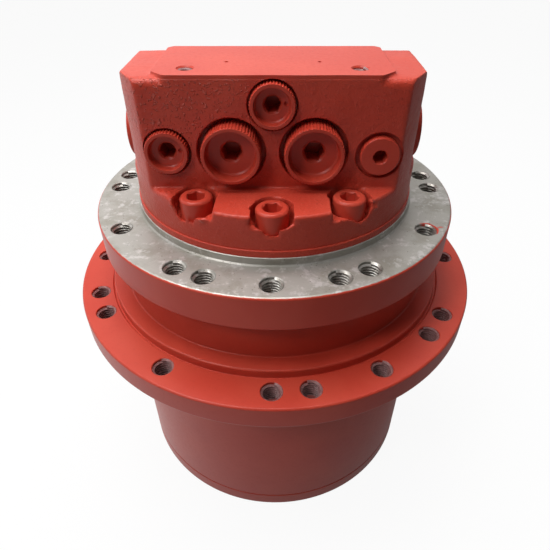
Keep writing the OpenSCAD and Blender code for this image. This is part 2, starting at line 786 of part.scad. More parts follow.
// Cylinder block with its pistons, drawn home in their bores
module cylinder_block() {
    color(steel) translate([0, 0, cylinder_z]) difference() {
        cylinder(r = block_r, h = cylinder_h - 0.1);
        translate([0, 0, -cut]) cylinder(r = shaft_r, h = cylinder_h + 2 * cut);
        ring_copies(pistons_n, piston_circle_r, 90) {
            translate([0, 0, -cut]) cylinder(r = piston_r + fit_gap, h = cylinder_h - 8 + cut, $fn = 48);
            cylinder(r = 3, h = cylinder_h + cut, $fn = 32);
        }
    }
}

module motor_pistons() {
    color(steel) translate([0, 0, cylinder_z]) ring_copies(pistons_n, piston_circle_r, 90) {
        translate([0, 0, 1.5]) sphere(r = piston_r - 3, $fn = 48);
        translate([0, 0, 1.5]) cylinder(r = 3.4, h = 6, $fn = 32);
        translate([0, 0, 6.5]) cylinder(r = piston_r, h = cylinder_h - 16, $fn = 48);
    }
}

module valve_plate() {
    color(bronze) translate([0, 0, cylinder_top_z]) difference() {
        tube(journal_r + 5, block_r - 1, valve_plate_t);
        for (side = [0, 180]) rotate(side - 64) {
            translate([0, 0, -cut]) rotate_extrude(angle = 128) translate([piston_circle_r - kidney_r, 0])
                square([2 * kidney_r, valve_plate_t + 2 * cut]);
            for (a = [0, 128]) rotate(a) translate([piston_circle_r, 0, -cut])
                cylinder(r = kidney_r - 0.1, h = valve_plate_t + 2 * cut, $fn = 32);
        }
    }
}

// Parking brake
module brake_layer(i) {
    translate([0, 0, brake_floor_z + 0.1 + i * plate_pitch]) children();
}

module brake_plates() {
    color(steel) for (i = [0:2:brake_layers - 1]) brake_layer(i)
        tube(brake_inner_r, brake_cavity_r - 0.1, plate_t);
}

module brake_discs() {
    color(bronze) for (i = [1:2:brake_layers - 1]) brake_layer(i) tube(block_r, brake_cavity_r - 2, plate_t);
}

module brake_piston() {
    color(dark_steel) translate([0, 0, brake_stack_top_z])
        tube(brake_inner_r, brake_cavity_r - fit_gap, brake_piston_t);
}

// Points of one coil: rings of a round wire along a helix with flat ends
function coil_points(turns, steps, sides, h) = [
    for (i = [0:turns * steps], j = [0:sides - 1])
        let (a = i * 360 / steps, b = j * 360 / sides, rr = spring_r + spring_wire_r * cos(b))
        let (climb = (h - 2 * spring_wire_r) * i / (turns * steps))
        [rr * cos(a), rr * sin(a), spring_wire_r + climb + spring_wire_r * sin(b)]
];

module coil_spring(h) {
    steps = 8;
    sides = 4;
    rings = spring_turns * steps;
    polyhedron(coil_points(spring_turns, steps, sides, h), concat(
        [[for (j = [0:sides - 1]) j]],
        [for (i = [0:rings - 1], j = [0:sides - 1]) [
            i * sides + j, (i + 1) * sides + j, (i + 1) * sides + (j + 1) % sides, i * sides + (j + 1) % sides
        ]],
        [[for (j = [sides - 1:-1:0]) rings * sides + j]]
    ));
}

module brake_springs() {
    low = brake_stack_top_z + brake_piston_t + 0.05;
    color(steel) ring_copies(springs_n, spring_circle_r) translate([0, 0, low])
        coil_spring(cover_boss_z - low - 0.05);
}

// Port cover
module screw_places() {
    for (side = [0, 180], a = [-screw_step, 0, screw_step]) rotate(side + a)
        translate([0, -screw_circle_r, 0]) children();
}

module screw_pockets() {
    difference() {
        for (side = [-1, 1], a = [-screw_step, 0, screw_step])
            translate([screw_circle_r * sin(a), side * screw_circle_r * cos(a), pocket_floor_z]) {
                cylinder(r = pocket_r, h = base_h);
                translate([-pocket_r, side > 0 ? 0 : -30, 0]) cube([2 * pocket_r, 30, base_h]);
            }
        translate([-base_r, -block_front, 0]) cube([2 * base_r, block_front + block_rear, pad_z]);
    }
}

// Plan of the block before its sides are cut: the round base, cut off flat at the front, with cast corners
module block_plan() {
    corner_y = block_front - block_corner_r;
    corner_x = sqrt(pow(base_r - block_corner_r, 2) - pow(corner_y, 2));
    difference() {
        intersection() {
            circle(r = base_r, $fn = 180);
            translate([-block_half_w - 3, -block_front])
                square([2 * block_half_w + 6, block_front + block_rear + 5]);
        }
        for (s = [-1, 1]) polygon([
            [s * corner_x, -corner_y], [s * corner_x, -block_front - 1],
            [s * (corner_x + 9), -block_front - 1],
            [s * corner_x * 1.12, -corner_y * 1.12]
        ]);
    }
    for (s = [-1, 1]) translate([s * corner_x, -corner_y]) circle(r = block_corner_r, $fn = 48);
}

// A rectangle with its two upper corners rounded
module round_top(x0, x1, y0, y1, r) {
    translate([x0, y0]) square([x1 - x0, y1 - y0 - r]);
    translate([x0 + r, y0]) square([x1 - x0 - 2 * r, y1 - y0]);
    for (x = [x0 + r, x1 - r]) translate([x, y1 - r]) circle(r = r, $fn = 48);
}

module block_casting() {
    intersection() {
        translate([0, 0, ledge_z - 1]) linear_extrude(shoulder_z - ledge_z + 1) block_plan();
        rotate([90, 0, 0]) translate([0, 0, -100]) linear_extrude(200)
            round_top(-block_half_w, block_half_w, ledge_z - 10, shoulder_z, shoulder_edge_r);
        rotate([90, 0, 90]) translate([0, 0, -100]) linear_extrude(200) {
            round_top(-block_front, 0, ledge_z - 10, shoulder_z, shoulder_edge_r);
            round_top(-20, block_rear, ledge_z - 10, deck_z, deck_edge_r);
        }
    }
}

module pad() {
    translate([0, 0, ledge_z]) linear_extrude(pad_z - ledge_z) polygon([
        [-pad_half_w + pad_clip_x, -block_front], [pad_half_w - pad_clip_x, -block_front],
        [pad_half_w, -block_front + pad_clip_y], [pad_half_w, -3.5], [pad_half_w - 3, -0.5],
        [-pad_half_w + 3, -0.5], [-pad_half_w, -3.5], [-pad_half_w, -block_front + pad_clip_y]
    ]);
}

module on_front(x, h) {
    translate([x, -block_front, frame_face_z + h]) rotate([90, 0, 0]) children();
}

module on_rear(x, h) {
    translate([x, block_rear, frame_face_z + h]) rotate([-90, 0, 0]) children();
}

module on_side(y, z) {
    translate([block_half_w, y, z]) rotate([0, 90, 0]) children();
}

module relief_places() {
    for (s = [-1, 1]) on_front(s * relief_plug_x, plug_row_h) children();
}

module gauge_places() {
    on_front(0, top_plug_h) children();
    on_front(-outer_plug_x, plug_row_h) children();
}

module plug_bore(pocket_d, depth, shank, extra) {
    translate([0, 0, -depth]) cylinder(d = pocket_d, h = depth + 20);
    translate([0, 0, -depth - shank[1] - extra]) cylinder(r = shank[0], h = shank[1] + extra + cut);
}

module rear_port(port) {
    translate([0, 0, -port[3]]) cylinder(r = port[2], h = port[3] + 10);
    translate([0, 0, -1]) cylinder(r = port[4], h = 10);
}

module port_cover() {
    color(paint) difference() {
        union() {
            translate([0, 0, spigot_top_z]) cylinder(r = base_r, h = base_h, $fn = 180);
            translate([0, 0, spigot_top_z]) cylinder(r = base_r + lip_w, h = lip_h, $fn = 180);
            translate([0, 0, cover_boss_z]) cylinder(r = cover_boss_r, h = spigot_top_z - cover_boss_z + cut);
            block_casting();
            pad();
        }
        screw_pockets();
        screw_places() translate([0, 0, spigot_top_z - cut]) cylinder(d = screw_d + 1, h = 30, $fn = 48);
        relief_places() plug_bore(relief_pocket_d, relief_head_depth, relief_shank, relief_valve_l - 6);
        gauge_places() plug_bore(gauge_pocket_d, gauge_head_depth, gauge_shank, 2);
        on_front(outer_plug_x, plug_row_h - 1.5)
            plug_bore(socket_pocket_d, socket_plug_depth, socket_shank, 2);
        for (s = [-1, 1]) {
            translate([s * pad_hole_x, -pad_hole_y, pad_z]) {
                translate([0, 0, -pad_hole_depth])
                    cylinder(d = pad_thread_d, h = pad_hole_depth + cut, $fn = 48);
                translate([0, 0, -0.5]) cylinder(d1 = pad_thread_d, d2 = pad_thread_d + 3, h = 1.5, $fn = 48);
            }
            translate([s * dot_x, -dot_y, pad_z - 1.2]) cylinder(r = dot_r, h = 3, $fn = 24);
            on_rear(s * main_port[0], main_port[1]) rear_port(main_port);
            on_rear(s * drain_port[0], drain_port[1]) rear_port(drain_port);
            translate([s * block_half_w, -spool_y, spool_z]) rotate([0, -s * 90, 0]) {
                translate([0, 0, -cut]) cylinder(r = cap_shank_r, h = cap_shank_l + cut);
            }
        }
        on_rear(pilot_port[0], pilot_port[1]) rear_port(pilot_port);
        translate([-block_half_w, -spool_y, spool_z]) rotate([0, 90, 0])
            cylinder(r = spool_r + fit_gap, h = 2 * block_half_w);
        on_side(speed_y, speed_z) {
            translate([0, 0, -speed_bore_l]) cylinder(r = speed_r + fit_gap, h = speed_bore_l, $fn = 48);
            translate([0, 0, -speed_plug[1]]) cylinder(r = speed_plug[0], h = speed_plug[1] + 10);
        }
        translate([0, 0, cover_boss_z - cut]) cylinder(r = journal_r + 3, h = 24);
    }
}

module cover_screws() {
    color(paint) screw_places() difference() {
        union() {
            translate([0, 0, pocket_floor_z]) cylinder(r = screw_head_r, h = screw_head_h - 0.8, $fn = 64);
            translate([0, 0, pocket_floor_z + screw_head_h - 0.8])
                cylinder(r1 = screw_head_r, r2 = screw_head_r - 0.8, h = 0.8, $fn = 64);
            translate([0, 0, pocket_floor_z - screw_l]) cylinder(d = screw_d, h = screw_l + cut, $fn = 48);
        }
        translate([0, 0, pocket_floor_z + screw_head_h]) hex_hole(screw_key, screw_head_h / 2);
    }
}

// Outline of a knurled head
function knurl_outline(d, n) = [
    for (i = [0:2 * n - 1]) polar(d / 2 - (i % 2) * knurl_depth, i * 180 / n)
];

// A knurled plug with a cupped head, standing on z = 0
module knurled_plug(d, proud, depth, cup, shank, key) {
    teeth = round(d * PI / 1.65);
    difference() {
        union() {
            translate([0, 0, 0.05 - depth]) linear_extrude(depth + proud - 1.05)
                polygon(knurl_outline(d, teeth));
            translate([0, 0, proud - 1.1]) cylinder(d1 = d - 2 * knurl_depth, d2 = d - 2.4, h = 1.1);
            translate([0, 0, -depth - shank[1]]) cylinder(r = shank[0], h = shank[1] + cut);
        }
        translate([0, 0, proud - cup[1]]) cylinder(r = cup[0], h = cup[1] + cut);
        translate([0, 0, proud - cup[1]]) hex_hole(key, key_depth);
    }
}

module relief_plugs() {
    color(paint) relief_places()
        knurled_plug(relief_head_d, relief_head_proud, relief_head_depth,
            relief_cup, relief_shank, relief_key);
}

module gauge_plugs() {
    color(paint) gauge_places()
        knurled_plug(gauge_head_d, gauge_head_proud, gauge_head_depth, gauge_cup, gauge_shank, gauge_key);
}

module socket_plug() {
    color(paint) on_front(outer_plug_x, plug_row_h - 1.5) difference() {
        union() {
            translate([0, 0, 0.05 - socket_plug_depth])
                cylinder(d = socket_plug_d, h = socket_plug_depth + socket_plug_proud - 0.85);
            translate([0, 0, socket_plug_proud - 0.8])
                cylinder(d1 = socket_plug_d, d2 = socket_plug_d - 1.6, h = 0.8);
            translate([0, 0, -socket_plug_depth - socket_shank[1]])
                cylinder(r = socket_shank[0], h = socket_shank[1] + 1);
        }
        translate([0, 0, socket_plug_proud]) hex_hole(socket_key, key_depth);
    }
}

module relief_valves() {
    color(steel) relief_places() translate([0, 0, 6 - relief_head_depth - relief_shank[1] - relief_valve_l]) {
        translate([0, 0, 0.5]) cylinder(r = relief_valve_r, h = relief_valve_l - 7);
        translate([0, 0, 0.5]) cylinder(r = relief_valve_r - 3, h = relief_valve_l - 6.6);
    }
}

module spool_caps() {
    color(paint) for (s = [-1, 1])
    translate([s * block_half_w, -spool_y, spool_z]) rotate([0, s * 90, 0]) difference() {
        union() {
            cylinder(r = cap_r, h = cap_proud - 1);
            translate([0, 0, cap_proud - 1]) cylinder(r1 = cap_r, r2 = cap_r - 1, h = 1);
            translate([0, 0, -cap_shank_l]) cylinder(r = cap_shank_r, h = cap_shank_l + 1);
        }
        translate([0, 0, cap_proud]) hex_hole(14, 8);
    }
}

// Valve spools: three lands joined by thinner stems
module spool(l, r, stem_r, land) {
    translate([-l / 2, 0, 0]) rotate([0, 90, 0]) {
        cylinder(r = stem_r, h = l);
        for (x = [0, (l - land) / 2, l - land]) translate([0, 0, x]) cylinder(r = r, h = land);
    }
}

module counterbalance_spool() {
    color(steel) translate([0, -spool_y, spool_z]) spool(spool_l, spool_r, spool_r - 3, 22);
}

module speed_spool() {
    color(steel) translate([block_half_w - speed_bore_l + seat_gap + speed_l / 2, speed_y, speed_z])
        spool(speed_l, speed_r, speed_r - 2, 9);
}

module speed_plug() {
    color(paint) on_side(speed_y, speed_z) difference() {
        translate([0, 0, -speed_plug[1]]) cylinder(r = speed_plug[0], h = speed_plug[1] - 0.6);
        translate([0, 0, -0.6]) hex_hole(6, 5);
    }
}

end_cover();
cover_bolts();
oil_plugs();
thrust_pad();
hub();
bearing_outer_rings();
seal_ring_rotating();
seal_cushion_rotating();
spindle_housing();
port_cover();
cover_screws();
relief_plugs();
gauge_plugs();
socket_plug();
speed_plug();
spool_caps();
bearing_inner_rings();
bearing_nut();
seal_ring_fixed();
seal_cushion_fixed();
output_pins();
output_pin_clips();
shaft_seal();
front_bearing_outer();
swash_cradle();
brake_plates();
brake_springs();
valve_plate();
rear_bush();
cover_o_ring();
relief_valves();
main_bearing_balls();
planet_carrier();
output_sun_gear();
input_pins();
input_pin_clips();
input_planet(0);  // input_planet_1
input_planet(1);  // input_planet_2
input_planet(2);  // input_planet_3
output_planet(0);  // output_planet_1
output_planet(1);  // output_planet_2
output_planet(2);  // output_planet_3
output_planet(3);  // output_planet_4
input_sun_gear();
drive_shaft();
ball_guide();
cylinder_block();
motor_pistons();
front_bearing_inner();
brake_discs();
front_bearing_balls();
swash_plate();
retainer_plate();
slipper_shoes();
control_piston();
brake_piston();
counterbalance_spool();
speed_spool();
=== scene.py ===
import math

import bmesh
import bpy
from mathutils import Matrix, Vector, noise


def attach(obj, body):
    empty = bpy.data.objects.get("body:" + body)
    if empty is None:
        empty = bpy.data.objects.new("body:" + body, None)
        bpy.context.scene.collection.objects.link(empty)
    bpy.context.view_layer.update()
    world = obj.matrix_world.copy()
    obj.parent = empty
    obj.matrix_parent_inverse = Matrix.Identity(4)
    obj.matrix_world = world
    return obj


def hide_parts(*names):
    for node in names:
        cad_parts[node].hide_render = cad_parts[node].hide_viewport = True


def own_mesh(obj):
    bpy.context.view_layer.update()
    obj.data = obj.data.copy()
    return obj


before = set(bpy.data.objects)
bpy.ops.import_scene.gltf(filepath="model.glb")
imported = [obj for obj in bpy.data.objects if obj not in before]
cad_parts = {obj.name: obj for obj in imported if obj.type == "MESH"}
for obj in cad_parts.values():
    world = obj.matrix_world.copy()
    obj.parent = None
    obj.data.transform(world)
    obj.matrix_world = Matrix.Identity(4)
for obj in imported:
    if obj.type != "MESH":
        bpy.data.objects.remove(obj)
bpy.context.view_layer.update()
print("frame loaded")

mm = 0.001
fullTurn = 2 * math.pi

# Heights and radii that several pieces share, in millimetres, as in the part's source
drive = {
    "hubRadius": 110.5, "coverTop": 13, "sprocketBack": 144, "sprocketFace": 160, "sprocketRadius": 139.5,
    "sprocketCircle": 127, "pilotRadius": 117, "pilotTop": 165, "neckRadius": 106.5, "neckTop": 193,
    "frameBack": 196, "frameFace": 218, "frameRadius": 116.5, "frameCircle": 105, "spigotRadius": 89.5,
    "spigotTop": 223, "ledge": 247, "baseRadius": 88, "pad": 307, "deck": 286, "blockHalf": 78.5,
    "blockFront": 56, "blockRear": 48, "plugRow": 268,
}


# Selecting and adding

def clearSelection():
    if bpy.context.object and bpy.context.object.mode != "OBJECT":
        bpy.ops.object.mode_set(mode="OBJECT")
    bpy.ops.object.select_all(action="DESELECT")


def pick(piece):
    clearSelection()
    piece.select_set(True)
    bpy.context.view_layer.objects.active = piece
    return piece


def justAdded(name):
    piece = bpy.context.object
    piece.name = name
    piece.data.name = name
    return piece


def settle(piece):
    # the piece's place goes into its mesh, and its object stays at the origin
    pick(piece)
    bpy.ops.object.transform_apply(location=True, rotation=True, scale=True)
    return piece


def joined(pieces, name):
    clearSelection()
    for piece in pieces:
        piece.select_set(True)
    bpy.context.view_layer.objects.active = pieces[0]
    if len(pieces) > 1:
        bpy.ops.object.join()
    return settle(justAdded(name))


def copyOf(piece):
    twin = piece.copy()
    twin.data = piece.data.copy()
    bpy.context.collection.objects.link(twin)
    return twin


def applyAll(piece):
    pick(piece)
    for modifier in list(piece.modifiers):
        bpy.ops.object.modifier_apply(modifier=modifier.name)
    return piece


def modified(piece, kind, **settings):
    modifier = piece.modifiers.new(kind.lower(), kind)
    for key, value in settings.items():
        setattr(modifier, key, value)
    return applyAll(piece)


def combine(piece, other, how="DIFFERENCE"):
    # other is used up
    modified(piece, "BOOLEAN", operation=how, solver="MANIFOLD", object=other)
    bpy.data.objects.remove(other, do_unlink=True)
    return piece


def smoothSides(piece, limit=32):
    pick(piece)
    bpy.ops.object.shade_smooth_by_angle(angle=math.radians(limit))
    return modified(piece, "WEIGHTED_NORMAL", keep_sharp=True, weight=60)


def outwards(piece):
    pick(piece)
    bpy.ops.object.mode_set(mode="EDIT")
    bpy.ops.mesh.select_all(action="SELECT")
    bpy.ops.mesh.remove_doubles(threshold=1e-7)
    bpy.ops.mesh.normals_make_consistent(inside=False)
    bpy.ops.object.mode_set(mode="OBJECT")
    return piece


# Turned shapes: a circle is extruded and resized along the section, point by point

def eased(section, steps=3):
    # a section is [(radius, height), ...], and a third number rounds that corner
    out = []
    for i, point in enumerate(section):
        here = Vector(point[:2])
        size = point[2] if len(point) > 2 else 0
        if not size:
            out.append(tuple(here))
            continue
        before = (Vector(section[i - 1][:2]) - here).normalized()
        after = (Vector(section[(i + 1) % len(section)][:2]) - here).normalized()
        half = before.angle(after) / 2
        reach = size / math.tan(half)
        start, end = here + before * reach, here + after * reach
        centre = here + (before + after).normalized() * size / math.sin(half)
        for k in range(steps + 1):
            way = (start - centre).lerp(end - centre, k / steps)
            out.append(tuple(centre + way.normalized() * size))
    return out


def turned(name, section, sides=192, ring=True):
    # a ring closes on itself, and any other shape starts and ends near the axis, with flat caps
    points = eased(section)
    clearSelection()
    radius, height = points[0]
    bpy.ops.mesh.primitive_circle_add(vertices=sides, radius=radius * mm, location=(0, 0, height * mm))
    piece = justAdded(name)
    bpy.ops.object.mode_set(mode="EDIT")
    for nextRadius, nextHeight in points[1:]:
        bpy.ops.mesh.extrude_edges_move(TRANSFORM_OT_translate={"value": (0, 0, (nextHeight - height) * mm)})
        grow = nextRadius / radius
        bpy.ops.transform.resize(value=(grow, grow, 1), center_override=(0, 0, nextHeight * mm))
        radius, height = nextRadius, nextHeight
    bpy.ops.mesh.select_all(action="DESELECT")
    bpy.ops.mesh.select_non_manifold()
    if ring:
        bpy.ops.mesh.bridge_edge_loops()
    else:
        bpy.ops.mesh.select_all(action="SELECT")
        bpy.ops.mesh.fill_holes(sides=0)
    bpy.ops.object.mode_set(mode="OBJECT")
    return outwards(settle(piece))


def placed(piece, x=0, y=0, z=0, turn=0, face=None):
    # face is the way that the piece's top looks: front is -Y, rear +Y, left -X, right +X
    lean = {None: Matrix(), "front": Matrix.Rotation(math.pi / 2, 4, "X"),
            "rear": Matrix.Rotation(-math.pi / 2, 4, "X"), "right": Matrix.Rotation(math.pi / 2, 4, "Y"),
            "left": Matrix.Rotation(-math.pi / 2, 4, "Y"), "down": Matrix.Rotation(math.pi, 4, "X")}[face]
    move = Matrix.Translation((x * mm, y * mm, z * mm))
    piece.matrix_world = move @ lean @ Matrix.Rotation(turn, 4, "Z") @ piece.matrix_world
    return settle(piece)


def onCircle(radius, degrees):
    # degrees count from the front, -Y, towards +X
    angle = math.radians(degrees)
    return radius * math.sin(angle), -radius * math.cos(angle)


def block(name, low, high):
    clearSelection()
    size = [(b - a) * mm for a, b in zip(low, high)]
    middle = [(a + b) / 2 * mm for a, b in zip(low, high)]
    bpy.ops.mesh.primitive_cube_add(size=1, location=middle, scale=size)
    return settle(justAdded(name))


def easeEdges(piece, width, chosen, segments=3):
    # bevels the edges for which chosen(middle, direction) is true, both in millimetres
    pick(piece)
    bpy.ops.object.mode_set(mode="EDIT")
    bpy.ops.mesh.select_mode(type="EDGE")
    bpy.ops.mesh.select_all(action="DESELECT")
    shape = bmesh.from_edit_mesh(piece.data)
    for edge in shape.edges:
        a, b = (v.co / mm for v in edge.verts)
        edge.select = bool(chosen((a + b) / 2, (b - a).normalized()))
    bmesh.update_edit_mesh(piece.data)
    bpy.ops.mesh.bevel(offset=width * mm, segments=segments, affect="EDGES")
    bpy.ops.mesh.select_mode(type="VERT")
    bpy.ops.object.mode_set(mode="OBJECT")
    return piece


print("helpers ready")


# Holes in the flanges

holes = {"radius": 6.4, "crest": 5.45, "pitch": 1.75, "mouth": 6.75, "evenCount": 12}
smallHoles = {"radius": 4.05, "crest": 3.3, "pitch": 1.25}
sprocketExtras = [10, 50, 130, 170, 250, 290]
frameExtras = [20, 100, 140, 220, 260, 340]
thread = {"crest": (0.42, 0.58), "wall": 0.35, "steps": 24, "start": 0.2, "padStart": 0.5, "end": 0.3,
          "turn": 75, "nextTurn": 3}


def holeAngles(extras):
    return [i * 360 / holes["evenCount"] for i in range(holes["evenCount"])] + extras


def onEach(spots, first, name):
    # copies of the first piece at (x, y, z, turn), joined; the first one is used up
    copies = [placed(copyOf(first), x, y, z, turn) for x, y, z, turn in spots]
    bpy.data.objects.remove(first, do_unlink=True)
    return joined(copies, name)


def ringSpots(radius, angles, z=0, turn=0):
    return [(*onCircle(radius, a), z, math.radians(turn * i)) for i, a in enumerate(angles)]


def holeCutter(depth):
    # a drill with its countersink, 1 mm past both faces of the flange
    sink = holes["mouth"] - holes["radius"]
    section = [(holes["radius"], -depth - 1), (holes["radius"], -sink), (holes["mouth"] + 1, 1)]
    return turned("drill", section, 40, False)


def threadLiner(h, depth, start):
    # one pitch of a V thread, wound up the hole by a Screw modifier
    turns = int((depth - start - thread["end"]) / h["pitch"]) - 1
    crestLow, crestHigh = thread["crest"]
    section = [(h["radius"], 0), (h["crest"], crestLow), (h["crest"], crestHigh), (h["radius"], 1)]
    clearSelection()
    bpy.ops.mesh.primitive_circle_add(vertices=4, radius=mm)
    liner = justAdded("liner")
    bpy.ops.object.mode_set(mode="EDIT")
    shape = bmesh.from_edit_mesh(liner.data)
    shape.verts.ensure_lookup_table()
    for vert, (radius, height) in zip(shape.verts, section):
        vert.co = Vector((radius, 0, (height - turns - 1) * h["pitch"] - start)) * mm
    shape.edges.remove(next(e for e in shape.edges if {v.index for v in e.verts} == {0, 3}))
    bmesh.update_edit_mesh(liner.data)
    bpy.ops.object.mode_set(mode="OBJECT")
    modified(liner, "SCREW", angle=fullTurn, screw_offset=h["pitch"] * mm, iterations=turns,
             steps=thread["steps"], render_steps=thread["steps"], use_merge_vertices=True, axis="Z")
    return modified(outwards(liner), "SOLIDIFY", thickness=thread["wall"] * mm, offset=1)


def threads(name, depth, circle, angles, height):
    # each thread runs out at the rear of its hole, a little further round than the last one
    liner = placed(threadLiner(holes, depth, thread["start"]), turn=math.radians(thread["turn"]))
    spots = ringSpots(circle, angles, height, thread["nextTurn"])
    return smoothSides(outwards(onEach(spots, liner, name)), 50)


def drills(depth, circle, angles, height):
    return onEach(ringSpots(circle, angles, height), holeCutter(depth), "drills")


def plainDrill(radius, low, high, sides=32):
    return turned("drill", [(radius, low), (radius, high)], sides, False)


# Hub with its sprocket flange and ring gear

hubShape = {
    "foot": 1.6, "footDepth": 1.0, "gearBore": 93.8, "gearLow": 19, "gearHigh": 86.5, "bearing": 87,
    "shoulder": 81, "lowSeat": 114, "highSeat": 146, "sealRadius": 96, "sealFloor": 179,
    "teeth": 60, "toothTip": 87.6, "toothRoot": 93.3, "gearOuter": 94.1, "gearGap": 0.1,
    "toothRise": [1, 0.97, 0.45, 0, 0, 0, 0.45, 0.97],  # round one tooth, from 1 at the root to 0 at the tip
}


def makeHub():
    d, h = drive, hubShape
    section = [
        (h["gearBore"], d["coverTop"]), (d["hubRadius"], d["coverTop"], 0.9),
        (d["hubRadius"], d["sprocketBack"], 2.0),
        (d["sprocketRadius"], d["sprocketBack"], 1.3), (d["sprocketRadius"], d["sprocketFace"], 1.3),
        (d["pilotRadius"] + h["foot"], d["sprocketFace"], 0.35),
        (d["pilotRadius"] + h["foot"] - 0.5, d["sprocketFace"] - h["footDepth"], 0.3),
        (d["pilotRadius"], d["sprocketFace"] - h["footDepth"], 0.3), (d["pilotRadius"], d["pilotTop"], 1.1),
        (d["neckRadius"], d["pilotTop"], 0.8), (d["neckRadius"], d["neckTop"], 1.2),
        (h["sealRadius"], d["neckTop"]), (h["sealRadius"], h["sealFloor"]),
        (h["bearing"], h["sealFloor"]), (h["bearing"], h["highSeat"]),
        (h["shoulder"], h["highSeat"]), (h["shoulder"], h["lowSeat"]), (h["bearing"], h["lowSeat"]),
        (h["bearing"], h["gearHigh"]), (h["gearBore"], h["gearHigh"]),
    ]
    hub = turned("hubShell", section, sides=240)
    depth = d["sprocketFace"] - d["sprocketBack"]
    pattern = (depth, d["sprocketCircle"], holeAngles(sprocketExtras), d["sprocketFace"])
    combine(hub, drills(*pattern))
    return smoothSides(hub), threads("sprocketThreads", *pattern)


def makeRingGear():
    h = hubShape
    top = h["gearHigh"] - h["gearGap"]
    section = [(h["toothTip"], h["gearLow"]), (h["gearOuter"], h["gearLow"]), (h["gearOuter"], top),
               (h["toothTip"], top)]
    steps = len(h["toothRise"])
    gear = turned("ringGear", section, h["teeth"] * steps)
    for vert in gear.data.vertices:
        x, y, _ = vert.co / mm
        if math.hypot(x, y) < h["toothRoot"]:
            step = round(math.atan2(y, x) / fullTurn * h["teeth"] * steps) % steps
            rise = h["toothRise"][step] * (h["toothRoot"] - h["toothTip"])
            grow = (h["toothTip"] + rise) / h["toothTip"]
            vert.co.x *= grow
            vert.co.y *= grow
    return smoothSides(gear)


hubShell, sprocketThreads = makeHub()
ringGear = makeRingGear()
print("hub made")


# Frame flange with its spigot and hollow spindle

# the flange and the port block have holes and pockets for these screws
screws = {"circle": 77.3, "step": 32.5, "radius": 9, "height": 12, "floor": 235.2, "key": 9.4, "pocket": 10.4,
          "breakout": 11.3, "shank": 6, "length": 27, "turns": [0.12, 0.62, 0.3, 0.5, 0.2, 0.8],
          "slot": {-1: (12.8, 10.6), 0: (11.2, 11.2), 1: (10.6, 12.8)}}  # its reach to the left and right
spindle = {
    "radius": 70, "end": 88, "shoulder": 78, "seat": 164, "collar": 96, "collarTop": 203, "cavity": 50.5,
    "cavityFloor": 106, "brake": 54.5, "brakeFloor": 168, "bearing": 33, "bearingFloor": 94, "sealBore": 28,
    "spigotFoot": 0.8, "pinCircle": 60, "pinAngles": [45, 135, 225, 315], "controlY": -42,
    # bores, as radius, foot and top
    "pinBore": (8.02, 87, 103), "screwBore": (6.02, 206, 225), "controlBore": (5.05, 94, 114),
}


def screwPlaces():
    # x and y of the cover screws, three in front and three at the rear
    return [onCircle(screws["circle"], side + k * screws["step"]) for side in (0, 180) for k in (-1, 0, 1)]


def makeHousing():
    d, s = drive, spindle
    section = [
        (s["sealBore"], s["end"]), (s["radius"], s["end"], 1), (s["radius"], s["seat"]),
        (s["shoulder"], s["seat"]), (s["shoulder"], s["collarTop"]), (s["collar"], s["collarTop"]),
        (s["collar"], d["frameBack"]), (d["frameRadius"], d["frameBack"], 1.2),
        (d["frameRadius"], d["frameFace"], 1.5), (d["spigotRadius"] + s["spigotFoot"], d["frameFace"]),
        (d["spigotRadius"], d["frameFace"] + s["spigotFoot"]), (d["spigotRadius"], d["spigotTop"], 0.6),
        (s["brake"], d["spigotTop"]), (s["brake"], s["brakeFloor"]), (s["cavity"], s["brakeFloor"]),
        (s["cavity"], s["cavityFloor"]), (s["bearing"], s["cavityFloor"]), (s["bearing"], s["bearingFloor"]),
        (s["sealBore"], s["bearingFloor"]),
    ]
    housing = turned("frameFlange", section, sides=240)
    depth = d["frameFace"] - d["frameBack"]
    pattern = (depth, d["frameCircle"], holeAngles(frameExtras), d["frameFace"])
    bores = [drills(*pattern),
             onEach(ringSpots(s["pinCircle"], s["pinAngles"]), plainDrill(*s["pinBore"]), "pinBores"),
             onEach([(x, y, 0, 0) for x, y in screwPlaces()], plainDrill(*s["screwBore"]), "screwBores"),
             placed(plainDrill(*s["controlBore"]), y=s["controlY"])]
    for bore in bores:
        combine(housing, bore)
    return smoothSides(housing), threads("frameThreads", *pattern)


frameFlange, frameThreads = makeHousing()
print("frame flange made")


# Screws with hex sockets

def hexKey(width, depth):
    # width is across the flats, and the key reaches this depth above and below z = 0
    clearSelection()
    radius = width / math.cos(math.pi / 6) / 2
    bpy.ops.mesh.primitive_cylinder_add(vertices=6, radius=radius * mm, depth=2 * depth * mm)
    return settle(justAdded("key"))


def keyReach(key):
    return max(math.hypot(v.co.x, v.co.y) for v in key.data.vertices) / mm


def socketHead(name, radius, height, key, ease, shank, sides=64, deep=None):
    # stands on z = 0, with its shank, (radius, length), below
    section = [
        (0.5, height), (radius, height, ease), (radius, 0, 0.4), (shank[0], 0), (shank[0], -shank[1], 0.6),
        (0.5, -shank[1]),
    ]
    head = turned(name, section, sides, False)
    cutter = hexKey(key, deep or min(height * 0.55, height - 0.8))
    reach = keyReach(cutter)
    mouth = turned("mouth", [(reach - 1.2, height - 1.3), (reach + 0.9, height + 0.8)], 48, False)
    combine(head, placed(cutter, z=height))
    combine(head, mouth)
    return smoothSides(outwards(head))


def makeCoverScrews():
    s = screws
    first = socketHead("screwHead", s["radius"], s["height"], s["key"], 1.7, (s["shank"], s["length"]))
    spots = [(x, y, s["floor"], turn) for (x, y), turn in zip(screwPlaces(), s["turns"])]
    return onEach(spots, first, "coverScrewHeads")


coverScrewHeads = makeCoverScrews()
print("cover screws made")


# End cover, its bolts and its two oil plugs

